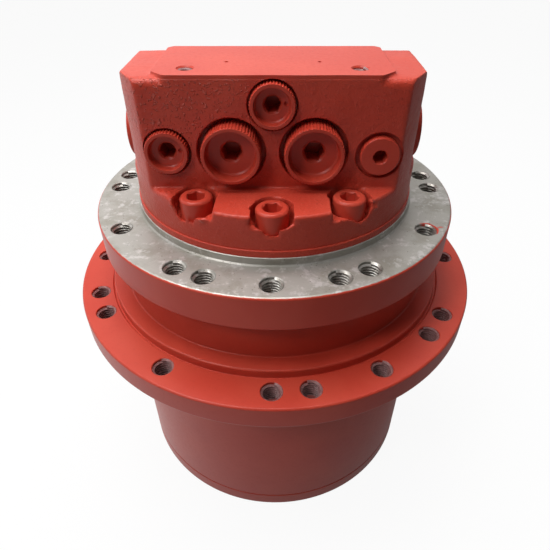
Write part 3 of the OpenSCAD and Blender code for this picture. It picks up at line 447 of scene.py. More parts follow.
endCap = {
    "seamGap": 0.1, "innerRadius": 93.3, "innerTop": 18,
    "boltCircle": 101.9, "boltAngles": [15 + 30 * i for i in range(12)],
    "boltHead": 6.4, "headHeight": 8, "boltKey": 6, "boltShank": (4, 20), "boltSink": 1, "plugCircle": 44,
    "plugAngles": [90, 270], "plugRadius": 11.6, "plugHeight": 1.8, "plugKey": 8, "plugShank": (9, 4.5),
    "plugSink": 4,
    # bores, as radius, foot, top and sides
    "boltBores": [(6.7, -1, 9, 32), (4.3, 8, 14, 32)], "plugBores": [(12, -1, 4, 48), (9, 3, 10, 48)],
}


def makeEndCover():
    d, e = drive, endCap
    seam = d["coverTop"] - e["seamGap"]
    section = [
        (0.5, 2), (60, 2, 0.8), (62, 0, 0.8), (d["hubRadius"], 0, 2.4), (d["hubRadius"], seam, 0.8),
        (e["innerRadius"], seam), (e["innerRadius"], e["innerTop"]), (87.3, e["innerTop"]),
        (83.3, 9), (20, 9), (18, 15), (12, 15), (12, 13.5), (0.5, 13.5),
    ]
    cover = turned("endCover", section, 240, False)
    for kind in ("bolt", "plug"):
        spots = ringSpots(e[kind + "Circle"], e[kind + "Angles"])
        for bore in e[kind + "Bores"]:
            combine(cover, onEach(spots, plainDrill(*bore), "bores"))
    return smoothSides(cover)


def makeCoverBolts():
    e = endCap
    first = socketHead("boltHead", e["boltHead"], e["headHeight"], e["boltKey"], 0.6, e["boltShank"], 40)
    placed(first, face="down", z=e["headHeight"] + e["boltSink"])
    return onEach(ringSpots(e["boltCircle"], e["boltAngles"], 0, 17), first, "coverBoltHeads")


def makeOilPlugs():
    e = endCap
    plug = socketHead("oilPlug", e["plugRadius"], e["plugHeight"], e["plugKey"], 0.4, e["plugShank"])
    placed(plug, face="down", z=e["plugSink"])
    return onEach(ringSpots(e["plugCircle"], e["plugAngles"], 0, 40), plug, "oilPlugHeads")


endCover = makeEndCover()
coverBoltHeads = makeCoverBolts()
oilPlugHeads = makeOilPlugs()
print("end cover made")


# Plugs on the front of the port block

reliefPlug = {"radius": 15.7, "proud": 7, "sink": 7, "cup": 13.6, "cupDepth": 7.5, "key": 10, "teeth": 57,
              "pocket": 18.25, "pocketEase": 0.4, "bore": 25, "shank": (11, 12), "x": 21.8, "turns": (22, 26)}
gaugePlug = {"radius": 11.7, "proud": 3, "sink": 5, "cup": 9.5, "cupDepth": 4.6, "key": 8, "teeth": 44,
             "pocket": 12.8, "pocketEase": 0.35, "bore": 14, "shank": (7, 12), "x": -56, "topHeight": 292.5,
             "turns": (36, 33), "dimple": (6.0, -3.6),
             "dimpleSection": [(0.3, -1), (1.1, -0.7), (1.4, 0.5), (0.3, 0.5)]}
flushPlug = {"radius": 10.5, "proud": 2, "sink": 3, "key": 7, "pocket": 12.8, "pocketEase": 0.35, "bore": 12,
             "shank": (8.5, 10), "x": 56.6, "drop": 1.9, "turn": 31}
knurl = {"depth": 0.5, "margin": 0.5, "rise": [0, 0, 1, 1], "keyDepth": 11}
reliefSpots = [(-reliefPlug["x"], drive["plugRow"]), (reliefPlug["x"], drive["plugRow"])]
gaugeSpots = [(0, gaugePlug["topHeight"]), (gaugePlug["x"], drive["plugRow"])]
flushSpot = (flushPlug["x"], drive["plugRow"] - flushPlug["drop"])


def knurledPlug(p):
    top = p["proud"]
    floor = top - p["cupDepth"]
    shank, length = p["shank"]
    foot = -p["sink"] - length
    section = [
        (0.5, floor), (p["cup"] - 0.3, floor, 1.8), (p["cup"], top, 0.3),
        (p["radius"] - knurl["margin"], top, 0.2), (p["radius"], top - knurl["margin"]),
        (p["radius"], -p["sink"]), (shank, -p["sink"]), (shank, foot), (0.5, foot),
    ]
    steps = len(knurl["rise"])
    plug = turned("knurled", section, steps * p["teeth"], False)
    for vert in plug.data.vertices:
        x, y, _ = vert.co / mm
        if math.hypot(x, y) > p["radius"] - 0.05:
            step = round(math.atan2(y, x) / fullTurn * steps * p["teeth"]) % steps
            shrink = 1 - knurl["rise"][step] * knurl["depth"] / p["radius"]
            vert.co.x *= shrink
            vert.co.y *= shrink
    cutter = hexKey(p["key"], knurl["keyDepth"])
    reach = keyReach(cutter)
    combine(plug, placed(cutter, z=floor))
    combine(plug, turned("mouth", [(reach - 1.2, floor - 1.7), (reach + 1.2, floor + 0.7)], 48, False))
    if "dimple" in p:
        x, y = p["dimple"]
        combine(plug, placed(turned("dimple", p["dimpleSection"], 16, False), x, y, floor))
    return smoothSides(outwards(plug), 26)


def inFront(piece, x, z):
    return placed(piece, x, -drive["blockFront"], z, face="front")


def plugPair(p, spots, name):
    first = knurledPlug(p)
    plugs = [inFront(placed(copyOf(first), turn=math.radians(turn)), x, z)
             for (x, z), turn in zip(spots, p["turns"])]
    bpy.data.objects.remove(first, do_unlink=True)
    return joined(plugs, name)


def makePlugs():
    relief = plugPair(reliefPlug, reliefSpots, "reliefPlugHeads")
    gauge = plugPair(gaugePlug, gaugeSpots, "gaugePlugHeads")
    f = flushPlug
    height = f["proud"] + f["sink"]
    flush = socketHead("flushPlugHead", f["radius"], height, f["key"], 0.7, f["shank"], deep=10)
    inFront(placed(flush, z=-f["sink"], turn=math.radians(f["turn"])), *flushSpot)
    return relief, gauge, flush


reliefPlugHeads, gaugePlugHeads, flushPlugHead = makePlugs()
print("plugs made")


# Caps on both sides of the port block

sideCap = {"radius": 17, "proud": 6, "key": 14, "y": -12, "z": 265, "shank": (13, 14), "turn": 0.3,
           # bores, as radius, foot, top and sides
           "capBore": (13, -14, 4, 48), "spoolBore": (9.05, -150, 1, 48)}
speedCap = {"radius": 7.4, "key": 6, "y": 18, "z": 256, "depth": 11, "shank": (5.5, 0.5),
            "bore": [(0.5, -57), (5.05, -57), (5.05, -11), (7.5, -11), (7.5, -0.3), (9, 1.2), (0.5, 1.2)]}


def onSide(piece, side, cap, depth=0):
    # side is -1 on the left and 1 on the right, and depth is how far inside the foot lies
    face = "left" if side < 0 else "right"
    return placed(piece, side * (drive["blockHalf"] - depth), cap["y"], cap["z"], face=face)


def makeSideCaps():
    c, s = sideCap, speedCap
    caps = []
    for side in (-1, 1):
        cap = socketHead("sideCap", c["radius"], c["proud"], c["key"], 1.0, c["shank"])
        caps.append(onSide(placed(cap, turn=c["turn"] * side), side, c))
    small = socketHead("speedPlugHead", s["radius"], s["depth"] - 1, s["key"], 0.5, s["shank"])
    return joined(caps, "sideCaps"), onSide(small, 1, s, s["depth"])


sideCaps, speedPlugHead = makeSideCaps()
print("side caps made")


# Port block: a round base and a casting, roughened all over, then machined

casting = {
    "voxel": 0.95, "seed": 3.7, "swell": 0.32, "swellScale": 0.055, "grain": 0.07, "grainScale": 0.42,
    "calm": 0.25, "facesLeft": 0.75, "lip": 0.8, "lipHeight": 4, "boss": 54, "bossBore": 14, "bossLow": 213.1,
    "shoulder": 305.2, "sideEdge": 2.2, "frontEdge": 4, "padHalf": 60, "padRear": 1.2, "padFront": 7,
    "padBack": 3, "deckEdge": 5, "slotFloor": 240.8, "slotEdge": 2, "slotVoxel": 1.0, "tear": 1.3,
    "tearScale": 0.34, "lumpTear": 0.7, "lipBore": 40,
}
# flash left by the mould: x, y, z and half sizes
flashLumps = [
    (-54.6, -68.2, 243.6, (1.3, 1.6, 2.4)), (54.9, -68.0, 242.6, (2.2, 1.8, 1.6)),
    (52.6, -69.6, 247, (1.6, 1.6, 1.2)), (-35.4, -80.0, 241.2, (3.4, 1.4, 1.0)),
    (10.2, -86.6, 241.2, (1.6, 1.4, 1.2)), (-57.5, -62, 247, (2.6, 3.4, 0.9)),
]
# rear ports: x, z, radius, depth and the radius of the spot face
portHoles = [(-25, 261, 10.5, 20, 15), (25, 261, 10.5, 20, 15), (-56, 261, 7, 14, 11), (56, 261, 7, 14, 11),
             (0, 271, 5.2, 12, 8)]
padHoles = {"x": 43.7, "y": -43.6, "radius": 4.0, "depth": 16, "dotX": 24.1, "dotY": -32.2}


def roughCasting():
    # the upper parts start inside the base, and machining cuts all to height
    c, d = casting, drive
    foot = d["spigotTop"] - 3
    base = [(0.5, foot), (d["baseRadius"], foot), (d["baseRadius"], d["ledge"], 0.9), (0.5, d["ledge"])]
    body = turned("portBlock", base, 240, False)
    foot = d["ledge"] - 4
    wall = [(0.5, foot), (d["baseRadius"], foot), (d["baseRadius"], c["shoulder"]), (0.5, c["shoulder"])]
    upright = turned("upright", wall, 240, False)
    limit = block("limit", (-d["blockHalf"], -d["blockFront"], d["ledge"] - 9),
                  (d["blockHalf"], d["blockRear"], c["shoulder"]))
    top = c["shoulder"] - 1
    easeEdges(limit, c["frontEdge"], lambda middle, way: middle.z > top and abs(way.x) > 0.5, 4)
    easeEdges(limit, c["sideEdge"],
              lambda middle, way: middle.z > top and abs(way.y) > 0.5 and abs(middle.x) > 70)
    combine(upright, limit, "INTERSECT")
    rear = block("rear", (-100, 0, d["deck"]), (100, 100, c["shoulder"] + 20))
    easeEdges(rear, c["deckEdge"],
              lambda middle, way: abs(way.x) > 0.5 and middle.y < 1 and middle.z < d["deck"] + 1, 4)
    combine(upright, rear)
    pad = block("pad", (-c["padHalf"], -d["blockFront"], d["ledge"]),
                (c["padHalf"], c["padRear"], d["pad"] + 1.2))
    easeEdges(pad, c["padFront"], lambda middle, way: abs(way.z) > 0.5 and middle.y < -20, 1)
    easeEdges(pad, c["padBack"], lambda middle, way: abs(way.z) > 0.5 and middle.y > -20, 1)
    for other in (upright, pad):
        combine(body, other, "UNION")
    for cutter in pocketCutters():
        combine(body, cutter)
    for x, y, z, size in flashLumps:
        clearSelection()
        middle = (x * mm, y * mm, z * mm)
        bpy.ops.mesh.primitive_ico_sphere_add(subdivisions=3, radius=mm, location=middle, scale=size)
        combine(body, ragged(settle(justAdded("lump")), c["lumpTear"]), "UNION")
    return body


def ragged(piece, size):
    # pushes points about, as where a mould tore
    shifts = [Vector((0, 0, 0)), Vector((9, 0, 0)), Vector((0, 9, 0))]
    for vert in piece.data.vertices:
        place = vert.co / mm * casting["tearScale"]
        vert.co += Vector([noise.noise(place + shift) for shift in shifts]) * size * mm
    return piece


def pocketCutters():
    # a round pocket for each screw, and a cast slot that runs out through the wall
    c, d, s = casting, drive, screws
    floor = s["floor"]
    top = d["ledge"] + 4
    section = [(0.5, floor), (s["pocket"], floor), (s["pocket"], floor + 2.8), (s["breakout"], floor + 3.2),
               (s["breakout"], top), (0.5, top)]
    cutters = []
    for side in (-1, 1):
        limit = -d["blockFront"] if side < 0 else d["blockRear"]
        near, far = sorted((limit, side * 99))
        keep = block("keep", (-99, near, 200), (99, far, 260))
        for k in (-1, 0, 1):
            angle = math.radians(k * s["step"])
            x = s["circle"] * math.sin(angle)
            y = side * s["circle"] * math.cos(angle)
            pocket = placed(turned("pocket", section, 64, False), x, y)
            left, right = s["slot"][k]
            near, far = sorted((y, side * 99))
            slot = block("slot", (x - left, near, c["slotFloor"]), (x + right, far, top))
            easeEdges(slot, c["slotEdge"],
                      lambda middle, way: abs(way.y) > 0.5 and middle.z < c["slotFloor"] + 1, 2)
            combine(pocket, slot, "UNION")
            combine(pocket, copyOf(keep), "INTERSECT")
            modified(pocket, "REMESH", mode="VOXEL", voxel_size=c["slotVoxel"] * mm, adaptivity=0)
            cutters.append(ragged(pocket, c["tear"]))
        bpy.data.objects.remove(keep, do_unlink=True)
    return cutters


def roughen(body):
    c, d = casting, drive
    modified(body, "REMESH", mode="VOXEL", voxel_size=c["voxel"] * mm, adaptivity=0)
    modified(body, "SMOOTH", factor=0.5, iterations=3)
    normals = [vert.normal.copy() for vert in body.data.vertices]
    for vert, normal in zip(body.data.vertices, normals):
        place = vert.co / mm
        slow = noise.noise(place * c["swellScale"] + Vector((c["seed"], 0, 0)))
        quick = noise.noise(place * c["grainScale"] + Vector((0, c["seed"], 0)))
        above = min(1, max(0, (place.z - d["ledge"] - 0.5) / 2))  # the round base is calmer
        rough = c["calm"] + (1 - c["calm"]) * above
        vert.co += normal * (slow * c["swell"] + quick * c["grain"]) * rough * mm
    return body


def plugSeat(p, x, z):
    # the pocket round a plug, and the bore behind it
    shank = p["shank"][0]
    floor = -p["sink"]
    section = [
        (0.5, floor - p["bore"]), (shank, floor - p["bore"]), (shank, floor), (p["pocket"], floor),
        (p["pocket"], -p["pocketEase"]), (p["pocket"] + p["pocketEase"] + 3, 3), (0.5, 3),
    ]
    return inFront(turned("sink", section, 96, False), x, z)


def machining():
    # all that is cut into the rough casting, in one piece
    d, s, p = drive, screws, padHoles
    cuts = [block("above", (-90, -90, d["pad"]), (90, 90, d["pad"] + 20)),
            block("below", (-99, -99, 200), (99, 99, d["spigotTop"]))]
    cuts += [plugSeat(reliefPlug, *spot) for spot in reliefSpots]
    cuts += [plugSeat(gaugePlug, *spot) for spot in gaugeSpots]
    cuts.append(plugSeat(flushPlug, *flushSpot))
    for x, z, radius, depth, spotFace in portHoles:
        section = [(0.5, -depth), (radius, -depth), (radius, -1.8), (radius + 0.8, -1), (spotFace, -1),
                   (spotFace, 4), (0.5, 4)]
        cuts.append(placed(turned("port", section, 72, False), x, d["blockRear"], z, face="rear"))
    tap = [(0.5, -p["depth"]), (p["radius"], -p["depth"]), (p["radius"], -0.8), (p["radius"] + 1.6, 0.8),
           (0.5, 0.8)]
    dot = [(0.3, -1.2), (1, -0.9), (1.2, 2), (0.3, 2)]
    for side in (-1, 1):
        cuts.append(placed(turned("tap", tap, 40, False), side * p["x"], p["y"], d["pad"]))
        cuts.append(placed(turned("dot", dot, 20, False), side * p["dotX"], p["dotY"], d["pad"]))
        cuts.append(onSide(plainDrill(*sideCap["capBore"]), side, sideCap))
    cuts.append(onSide(plainDrill(*sideCap["spoolBore"]), 1, sideCap, 2))
    cuts.append(onSide(turned("small", speedCap["bore"], 48, False), 1, speedCap))
    for x, y in screwPlaces():
        cuts.append(placed(plainDrill(s["shank"] + 0.5, d["spigotTop"] - 2, s["floor"] + 1), x, y))
        cuts.append(placed(plainDrill(s["radius"] + 0.6, s["floor"] - 0.05, s["floor"] + 5, 48), x, y))
    for other in cuts[1:]:
        combine(cuts[0], other, "UNION")
    return cuts[0]


def machine(body):
    # the cuts, then the machined lip of the round base and the boss in the spindle
    c, foot = casting, drive["spigotTop"]
    combine(body, machining())
    radius = drive["baseRadius"] + c["lip"]
    lipTop = foot + c["lipHeight"]
    lip = [(c["lipBore"], foot), (radius, foot), (radius, lipTop, 0.5), (c["lipBore"], lipTop)]
    combine(body, turned("lip", lip, 240), "UNION")
    boss = [(c["bossBore"], c["bossLow"]), (c["boss"], c["bossLow"]), (c["boss"], foot + 1),
            (c["bossBore"], foot + 1)]
    return combine(body, turned("boss", boss, 96), "UNION")


def makePortBlock():
    body = roughen(roughCasting())
    modified(body, "DECIMATE", ratio=casting["facesLeft"])
    machine(body)
    return smoothSides(outwards(body), 38)


def makePadThreads():
    p = padHoles
    spots = [(side * p["x"], p["y"], drive["pad"], side) for side in (-1, 1)]
    liner = threadLiner(smallHoles, p["depth"], thread["padStart"])
    return smoothSides(outwards(onEach(spots, liner, "padThreads")), 50)


portBlock = makePortBlock()
padThreads = makePadThreads()
print("port block made,", len(portBlock.data.polygons), "faces")


# Shader maths: a Signal wraps a socket, and sums and products of signals add Math nodes

class Signal:
    def __init__(self, tree, socket=None):
        self.tree, self.socket = tree, socket

    def node(self, kind, inputs=None, out=0, **settings):
        made = self.tree.nodes.new(kind)
        for key, value in settings.items():
            setattr(made, key, value)
        for key, value in (inputs or {}).items():
            if isinstance(value, Signal):
                self.tree.links.new(value.socket, made.inputs[key])
            else:
                made.inputs[key].default_value = value
        return Signal(self.tree, made.outputs[out])

    def maths(self, operation, *others):
        return self.node("ShaderNodeMath", dict(enumerate((self, *others))), operation=operation)

    def __add__(self, other):
        return self.maths("ADD", other)

    def __mul__(self, other):
        return self.maths("MULTIPLY", other)

    def __sub__(self, other):
        return self.maths("SUBTRACT", other)

    def __rsub__(self, other):
        return self.node("ShaderNodeMath", {0: other, 1: self}, operation="SUBTRACT")

    __radd__, __rmul__ = __add__, __mul__

    def step(self, low, high):
        # 0 below low, 1 above high, soft between
        inputs = {0: self, 1: low, 2: high}
        return self.node("ShaderNodeMapRange", inputs, interpolation_type="SMOOTHSTEP")


class Finish:
    # a material with one Principled BSDF, and short ways to the patterns used here
    def __init__(self, name, **values):
        self.material = bpy.data.materials.new(name)
        self.material.use_nodes = True
        tree = self.material.node_tree
        self.shader = tree.nodes["Principled BSDF"]
        self.start = Signal(tree)
        self.place = self.start.node("ShaderNodeTexCoord", out=3)
        for socket, value in values.items():
            self.set(socket, value)

    def set(self, socket, value):
        target = self.shader.inputs[socket]
        if isinstance(value, Signal):
            self.start.tree.links.new(value.socket, target)
        else:
            target.default_value = value

    def noise(self, size, detail=2, roughness=0.5, shift=0.0):
        # size is the rough size of its patches in millimetres
        moved = self.start.node("ShaderNodeMapping", {0: self.place, 1: (shift, shift, shift)})
        inputs = {"Vector": moved, "Scale": 1 / (size * mm), "Detail": detail, "Roughness": roughness}
        return self.start.node("ShaderNodeTexNoise", inputs)

    def pits(self, size, width):
        # 1 at the middle of scattered pits
        inputs = {"Vector": self.place, "Scale": 1 / (size * mm)}
        return 1 - self.start.node("ShaderNodeTexVoronoi", inputs).step(width * 0.35, width)

    def axes(self):
        parts = self.start.node("ShaderNodeSeparateXYZ", {0: self.place})
        node = parts.socket.node
        return [Signal(self.start.tree, node.outputs[i]) for i in range(3)]

    def radius(self):
        x, y, z = self.axes()
        return (x * x + y * y).maths("SQRT"), z

    def turning(self, pitch):
        # fine grooves of a lathe tool: rings about Z, with uneven depth
        radius, z = self.radius()
        perMetre = 1 / (pitch * mm)
        line = self.start.node("ShaderNodeCombineXYZ", {0: radius * perMetre, 1: z * perMetre})
        inputs = {"Vector": line, "Scale": 1.0, "Detail": 3.0, "Roughness": 0.6}
        return self.start.node("ShaderNodeTexNoise", inputs)

    def mix(self, share, first, second):
        inputs = {0: share, 6: first, 7: second}
        return self.start.node("ShaderNodeMix", inputs, out=2, data_type="RGBA")

    def bump(self, height, depth, under=None):
        # height is a signal of about 0 to 1, and depth its size in millimetres
        inputs = {"Height": height, "Distance": depth * mm, "Strength": 1.0}
        if under:
            inputs["Normal"] = under
        return self.start.node("ShaderNodeBump", inputs)


def rgb(red, green, blue):
    # sRGB, 0 to 255, as a linear colour
    def linear(value):
        value /= 255
        return value / 12.92 if value <= 0.04045 else ((value + 0.055) / 1.055) ** 2.4
    return (linear(red), linear(green), linear(blue), 1)


# the speck colour is no paint colour: it is a painted highlight for the casting's raised specks
paint = {"body": rgb(196, 65, 48), "deep": rgb(146, 32, 24), "light": rgb(206, 79, 60),
         "speckHighlight": rgb(226, 112, 96), "dark": rgb(92, 24, 20), "worn": rgb(172, 128, 126), "patch": 46,
         "roughness": 0.36, "specular": 0.28}
steel = {"bare": rgb(176, 172, 165), "ring": rgb(158, 155, 150), "dull": rgb(144, 140, 128),
         "pale": rgb(214, 210, 208), "speck": rgb(84, 78, 72), "metallic": 0.6, "roughness": 0.42}


def paintColour(f, patches):
    return f.mix(patches.step(0.4, 0.68) * 0.6, paint["body"], paint["light"])


def enamel(name, grain=0.0, turning=True):
    # semi-gloss enamel over turned iron, or, with a grain, over a sand casting
    f = Finish(name)
    f.set("Specular IOR Level", paint["specular"])
    patches = f.noise(paint["patch"], 3, 0.5)
    fine = f.noise(2.2, 3, 0.6, shift=0.3)
    colour = f.mix(fine.step(0.52, 0.8) * 0.14, paintColour(f, patches), paint["deep"])
    if grain:
        x, _, z = f.axes()
        coarse = (1 - (x + z * -0.6).step(-0.215, -0.165)) * z.step(0.262, 0.28)  # the rougher upper left
        sand = f.noise(1.5, 3, 0.62, shift=0.9)
        colour = f.mix(sand.step(0.58, 0.72) * 0.3, colour, paint["deep"])
        cast = 1 - z.step(0.3046, 0.3052)  # the top is smooth
        skin = f.bump(f.noise(7, 4, 0.6) * cast, 0.4 * grain)
        skin = f.bump(sand * cast, 0.17 * grain, under=skin)
        # raised specks: bumps in the casting, which the colour below also lightens as painted highlights,
        # most of them on the rougher upper left
        raisedSpecksAndHighlights = f.noise(1.4, 2, 0.5, shift=1.7).step(0.56, 0.68) * (coarse * 0.85 + 0.15) * cast
        skin = f.bump(raisedSpecksAndHighlights, 0.55 * grain, under=skin)
        colour = f.mix(raisedSpecksAndHighlights * 0.45, colour, paint["speckHighlight"])
    else:
        skin = f.bump(f.noise(1.6, 2, 0.5), 0.012)
        skin = f.bump(f.noise(9, 2, 0.5), 0.04, under=skin)
        if turning:
            skin = f.bump(f.turning(1.1), 0.01, under=skin)
    f.set("Base Color", colour)
    f.set("Roughness", paint["roughness"] + 0.14 * (fine - 0.5) + 0.08 * (patches - 0.5))
    f.set("Normal", skin)
    return f.material


def threadPaint():
    # thin, dark paint in the holes, rubbed off the crests
    f = Finish("thinPaintOnThread")
    f.set("Specular IOR Level", paint["specular"])
    worn = f.noise(1.4, 3, 0.6)
    f.set("Base Color", f.mix(worn.step(0.3, 0.7) * 0.3 + 0.5, paint["dark"], paint["worn"]))
    f.set("Roughness", 0.38 + 0.1 * (worn - 0.5))
    f.set("Normal", f.bump(worn, 0.01))
    return f.material


def flangeFinish():
    # enamel on the rim, bare turned steel on the face and spigot, and paint that ran into one hole
    f = Finish("paintedFlangeWithBareFace")
    outside, back = drive["frameRadius"], drive["frameBack"]
    radius, z = f.radius()
    x, y, _ = f.axes()
    edge = f.noise(2.4, 3, 0.6)
    rim = (radius + (edge - 0.5) * (0.6 * mm)).step((outside - 0.8) * mm, (outside - 0.6) * mm)
    under = 1 - z.step((back + 0.6) * mm, (back + 1.0) * mm)
    holeX, holeY = onCircle(drive["frameCircle"], 60)
    dx = x - holeX * mm
    dy = y - holeY * mm
    away = (dx * dx + dy * dy).maths("SQRT")
    lean = (dx * 0.85 + dy * 0.5).step(0.5 * mm, 3.5 * mm)  # the side that the paint ran down
    nearHole = (1 - (away + (edge - 0.5) * (2 * mm)).step(7.2 * mm, 7.8 * mm)) * lean
    sx = x - (holeX + 9.2) * mm
    sy = y - (holeY + 2.6) * mm
    reach = (sx * sx * 0.12 + sy * sy).maths("SQRT") + (edge - 0.5) * (1.6 * mm)
    smear = 1 - reach.step(0.4 * mm, 1.1 * mm)
    painted = rim.maths("MAXIMUM", under).maths("MAXIMUM", nearHole).maths("MAXIMUM", smear * 0.85)
    painted = (painted * radius.step(97 * mm, 98 * mm)).maths("MINIMUM", 1.0)
    rings = f.turning(0.5)
    cloud = f.noise(16, 4, 0.6)
    specks = f.pits(2.6, 0.2) * f.noise(11, 2, 0.5, shift=2.1).step(0.46, 0.6)
    pale = f.noise(6.5, 4, 0.65, shift=3.1)
    bare = f.mix(rings.step(0.35, 0.65) * 0.35, steel["bare"], steel["ring"])
    bare = f.mix(cloud.step(0.45, 0.66) * 0.6, bare, steel["dull"])
    bare = f.mix(pale.step(0.52, 0.66) * 0.6, bare, steel["pale"])
    bare = f.mix(specks * 0.7, bare, steel["speck"])
    red = paintColour(f, f.noise(paint["patch"], 3, 0.5))
    f.set("Specular IOR Level", paint["specular"])
    f.set("Base Color", f.mix(painted, bare, red))
    f.set("Metallic", (1 - painted) * steel["metallic"])
    rough = painted * (paint["roughness"] - steel["roughness"]) + steel["roughness"]
    f.set("Roughness", rough + 0.12 * (cloud - 0.5))
    skin = f.bump(rings, 0.03)
    f.set("Normal", f.bump(painted * (0.7 + f.noise(1.6, 2, 0.5) * 0.3), 0.08, under=skin))
    return f.material


def metal(name, colour, second, roughness, grooves=0.0, patch=9, metallic=1.0, grain=0.02):
    f = Finish(name, Metallic=metallic)
    cloud = f.noise(patch, 4, 0.6)
    fine = f.noise(patch / 9, 3, 0.6, shift=0.6)
    f.set("Base Color", f.mix(cloud.step(0.36, 0.68), colour, second))
    f.set("Roughness", roughness + 0.16 * (fine - 0.5) + 0.08 * (cloud - 0.5))
    skin = f.bump(fine, grain)
    if grooves:
        skin = f.bump(f.turning(grooves), 0.015, under=skin)
    f.set("Normal", skin)
    return f.material


finishes = {
    "paintTurned": enamel("enamelOnTurnedIron"),
    "paintCast": enamel("enamelOnCasting", 1.0),
    "paintCap": enamel("enamelOnPlugs", 0.0, False),
    "paintThread": threadPaint(),
    "flange": flangeFinish(),
    "bareThread": metal("bareThread", rgb(186, 182, 176), rgb(140, 134, 126), 0.34, patch=3, metallic=0.7),
    "gear": metal("gearSteel", rgb(158, 160, 164), rgb(132, 134, 140), 0.3, 0.8),
    "forged": metal("forgedSteel", rgb(84, 82, 82), rgb(60, 58, 58), 0.5, patch=6, grain=0.08),
    "black": metal("blackOxide", rgb(44, 44, 46), rgb(30, 30, 33), 0.42, patch=5),
    "ground": metal("groundBearingSteel", rgb(196, 198, 202), rgb(176, 178, 184), 0.16, 0.3),
    "valve": metal("lappedSteel", rgb(178, 180, 184), rgb(156, 160, 166), 0.2, 0.4),
    "bronze": metal("bronze", rgb(176, 128, 70), rgb(148, 100, 52), 0.32, 0.5),
    "friction": metal("sinteredLining", rgb(116, 84, 62), rgb(92, 66, 50), 0.62, patch=3, metallic=0.5,
                      grain=0.05),
    "rubber": metal("blackRubber", rgb(34, 34, 35), rgb(26, 26, 27), 0.6, patch=4, metallic=0.0, grain=0.03),
    "zinc": metal("zincPlate", rgb(172, 170, 160), rgb(150, 150, 146), 0.34, patch=5),
}
nodeFinishes = {
    "gear": ["output_sun_gear", "input_sun_gear", *(f"input_planet_{i}" for i in range(1, 4)),
             *(f"output_planet_{i}" for i in range(1, 5))],
    "forged": ["planet_carrier", "swash_cradle", "bearing_nut", "drive_shaft"],
    "black": ["input_pin_clips", "output_pin_clips", "brake_springs", "ball_guide"],
    "ground": ["bearing_outer_rings", "bearing_inner_rings", "main_bearing_balls", "front_bearing_outer",
               "front_bearing_inner", "front_bearing_balls", "output_pins", "input_pins"],
    "valve": ["seal_ring_rotating", "seal_ring_fixed", "valve_plate", "swash_plate", "cylinder_block",
              "motor_pistons", "control_piston", "counterbalance_spool", "speed_spool", "retainer_plate",
              "relief_valves"],
    "bronze": ["thrust_pad", "rear_bush", "slipper_shoes"],
    "friction": ["brake_discs"],
    "zinc": ["brake_plates", "brake_piston"],
    "rubber": ["seal_cushion_rotating", "seal_cushion_fixed", "shaft_seal", "cover_o_ring"],
}


def dress(piece, finish):
    piece.data.materials.clear()
    piece.data.materials.append(finishes[finish])


for finish, nodes in nodeFinishes.items():
    for node in nodes:
        dress(bpy.data.objects[node], finish)
print("finishes made")


# What each new piece stands for, its body, finish and slot

pieces = [
    (hubShell, "hub_side", "paintTurned", "red_machined", ["hub"]),
    (sprocketThreads, "hub_side", "paintThread", "red_machined", []),
    (ringGear, "hub_side", "gear", "gear_steel", []),
    (frameFlange, "frame_side", "flange", "flange_steel", ["spindle_housing"]),
    (frameThreads, "frame_side", "bareThread", "flange_steel", []),
    (coverScrewHeads, "frame_side", "paintCap", "red_cast", ["cover_screws"]),
    (endCover, "hub_side", "paintTurned", "red_machined", ["end_cover"]),
    (coverBoltHeads, "hub_side", "black", "dark_steel", ["cover_bolts"]),
    (oilPlugHeads, "hub_side", "zinc", "flange_steel", ["oil_plugs"]),
    (reliefPlugHeads, "frame_side", "paintCap", "red_cast", ["relief_plugs"]),
    (gaugePlugHeads, "frame_side", "paintCap", "red_cast", ["gauge_plugs"]),
    (flushPlugHead, "frame_side", "paintCap", "red_cast", ["socket_plug"]),
    (sideCaps, "frame_side", "paintCap", "red_cast", ["spool_caps"]),
    (speedPlugHead, "frame_side", "paintCap", "red_cast", ["speed_plug"]),
    (portBlock, "frame_side", "paintCast", "red_cast", ["port_cover"]),
    (padThreads, "frame_side", "paintThread", "red_machined", []),
]
for piece, body, finish, slot, nodes in pieces:
    dress(piece, finish)
    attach(piece, body)
    if nodes:
        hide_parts(*nodes)
print("pieces ride on their bodies")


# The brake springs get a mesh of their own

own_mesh(bpy.data.objects["brake_springs"])


# Camera, where the photograph was taken from

shot = {"place": (4.76, -294.35, 373.76), "yaw": -0.912, "pitch": -38.288, "roll": -0.226,
        "focalPixels": 478.89, "imageWidth": 550, "sensor": 36}


def makeCamera():
    yaw, pitch, roll = (math.radians(shot[k]) for k in ("yaw", "pitch", "roll"))
    forward = Vector((math.sin(yaw) * math.cos(pitch), math.cos(yaw) * math.cos(pitch), math.sin(pitch)))
    right = Vector((math.cos(yaw), -math.sin(yaw), 0))
    up = right.cross(forward)
    right, up = right * math.cos(roll) + up * math.sin(roll), up * math.cos(roll) - right * math.sin(roll)
    bpy.ops.object.camera_add()
    camera = justAdded("camera")
    aim = Matrix((right, up, -forward)).transposed().to_4x4()
    camera.matrix_world = Matrix.Translation(Vector(shot["place"]) * mm) @ aim
    camera.data.sensor_width = shot["sensor"]
    camera.data.lens = shot["sensor"] * shot["focalPixels"] / shot["imageWidth"]
    camera.data.clip_start = 0.01
    bpy.context.scene.camera = camera


makeCamera()


# Floor and studio light

studio = {
    "floorHalf": 3.0, "bounce": rgb(137, 137, 137), "floorColour": rgb(248, 248, 248), "floorWhite": 0.93,
    "front": 0.08, "back": 0.82, "leftLean": 0.5, "diffuseShare": 0.58, "dimRight": (-0.15, 0.2, 0.88),
    "rightDip": 0.35, "aim": (0, -0.02, 0.18),
    "lamps": [
        # name, place, width, height, watts: each lamp looks at the drive
        ("key", (-0.2, 0.0, 0.98), 0.6, 0.6, 6.2),
        ("front", (-0.8, -0.75, 1.25), 0.35, 0.35, 5.0),
        ("top", (0.1, 0.5, 1.3), 0.9, 0.5, 3),
    ],
}


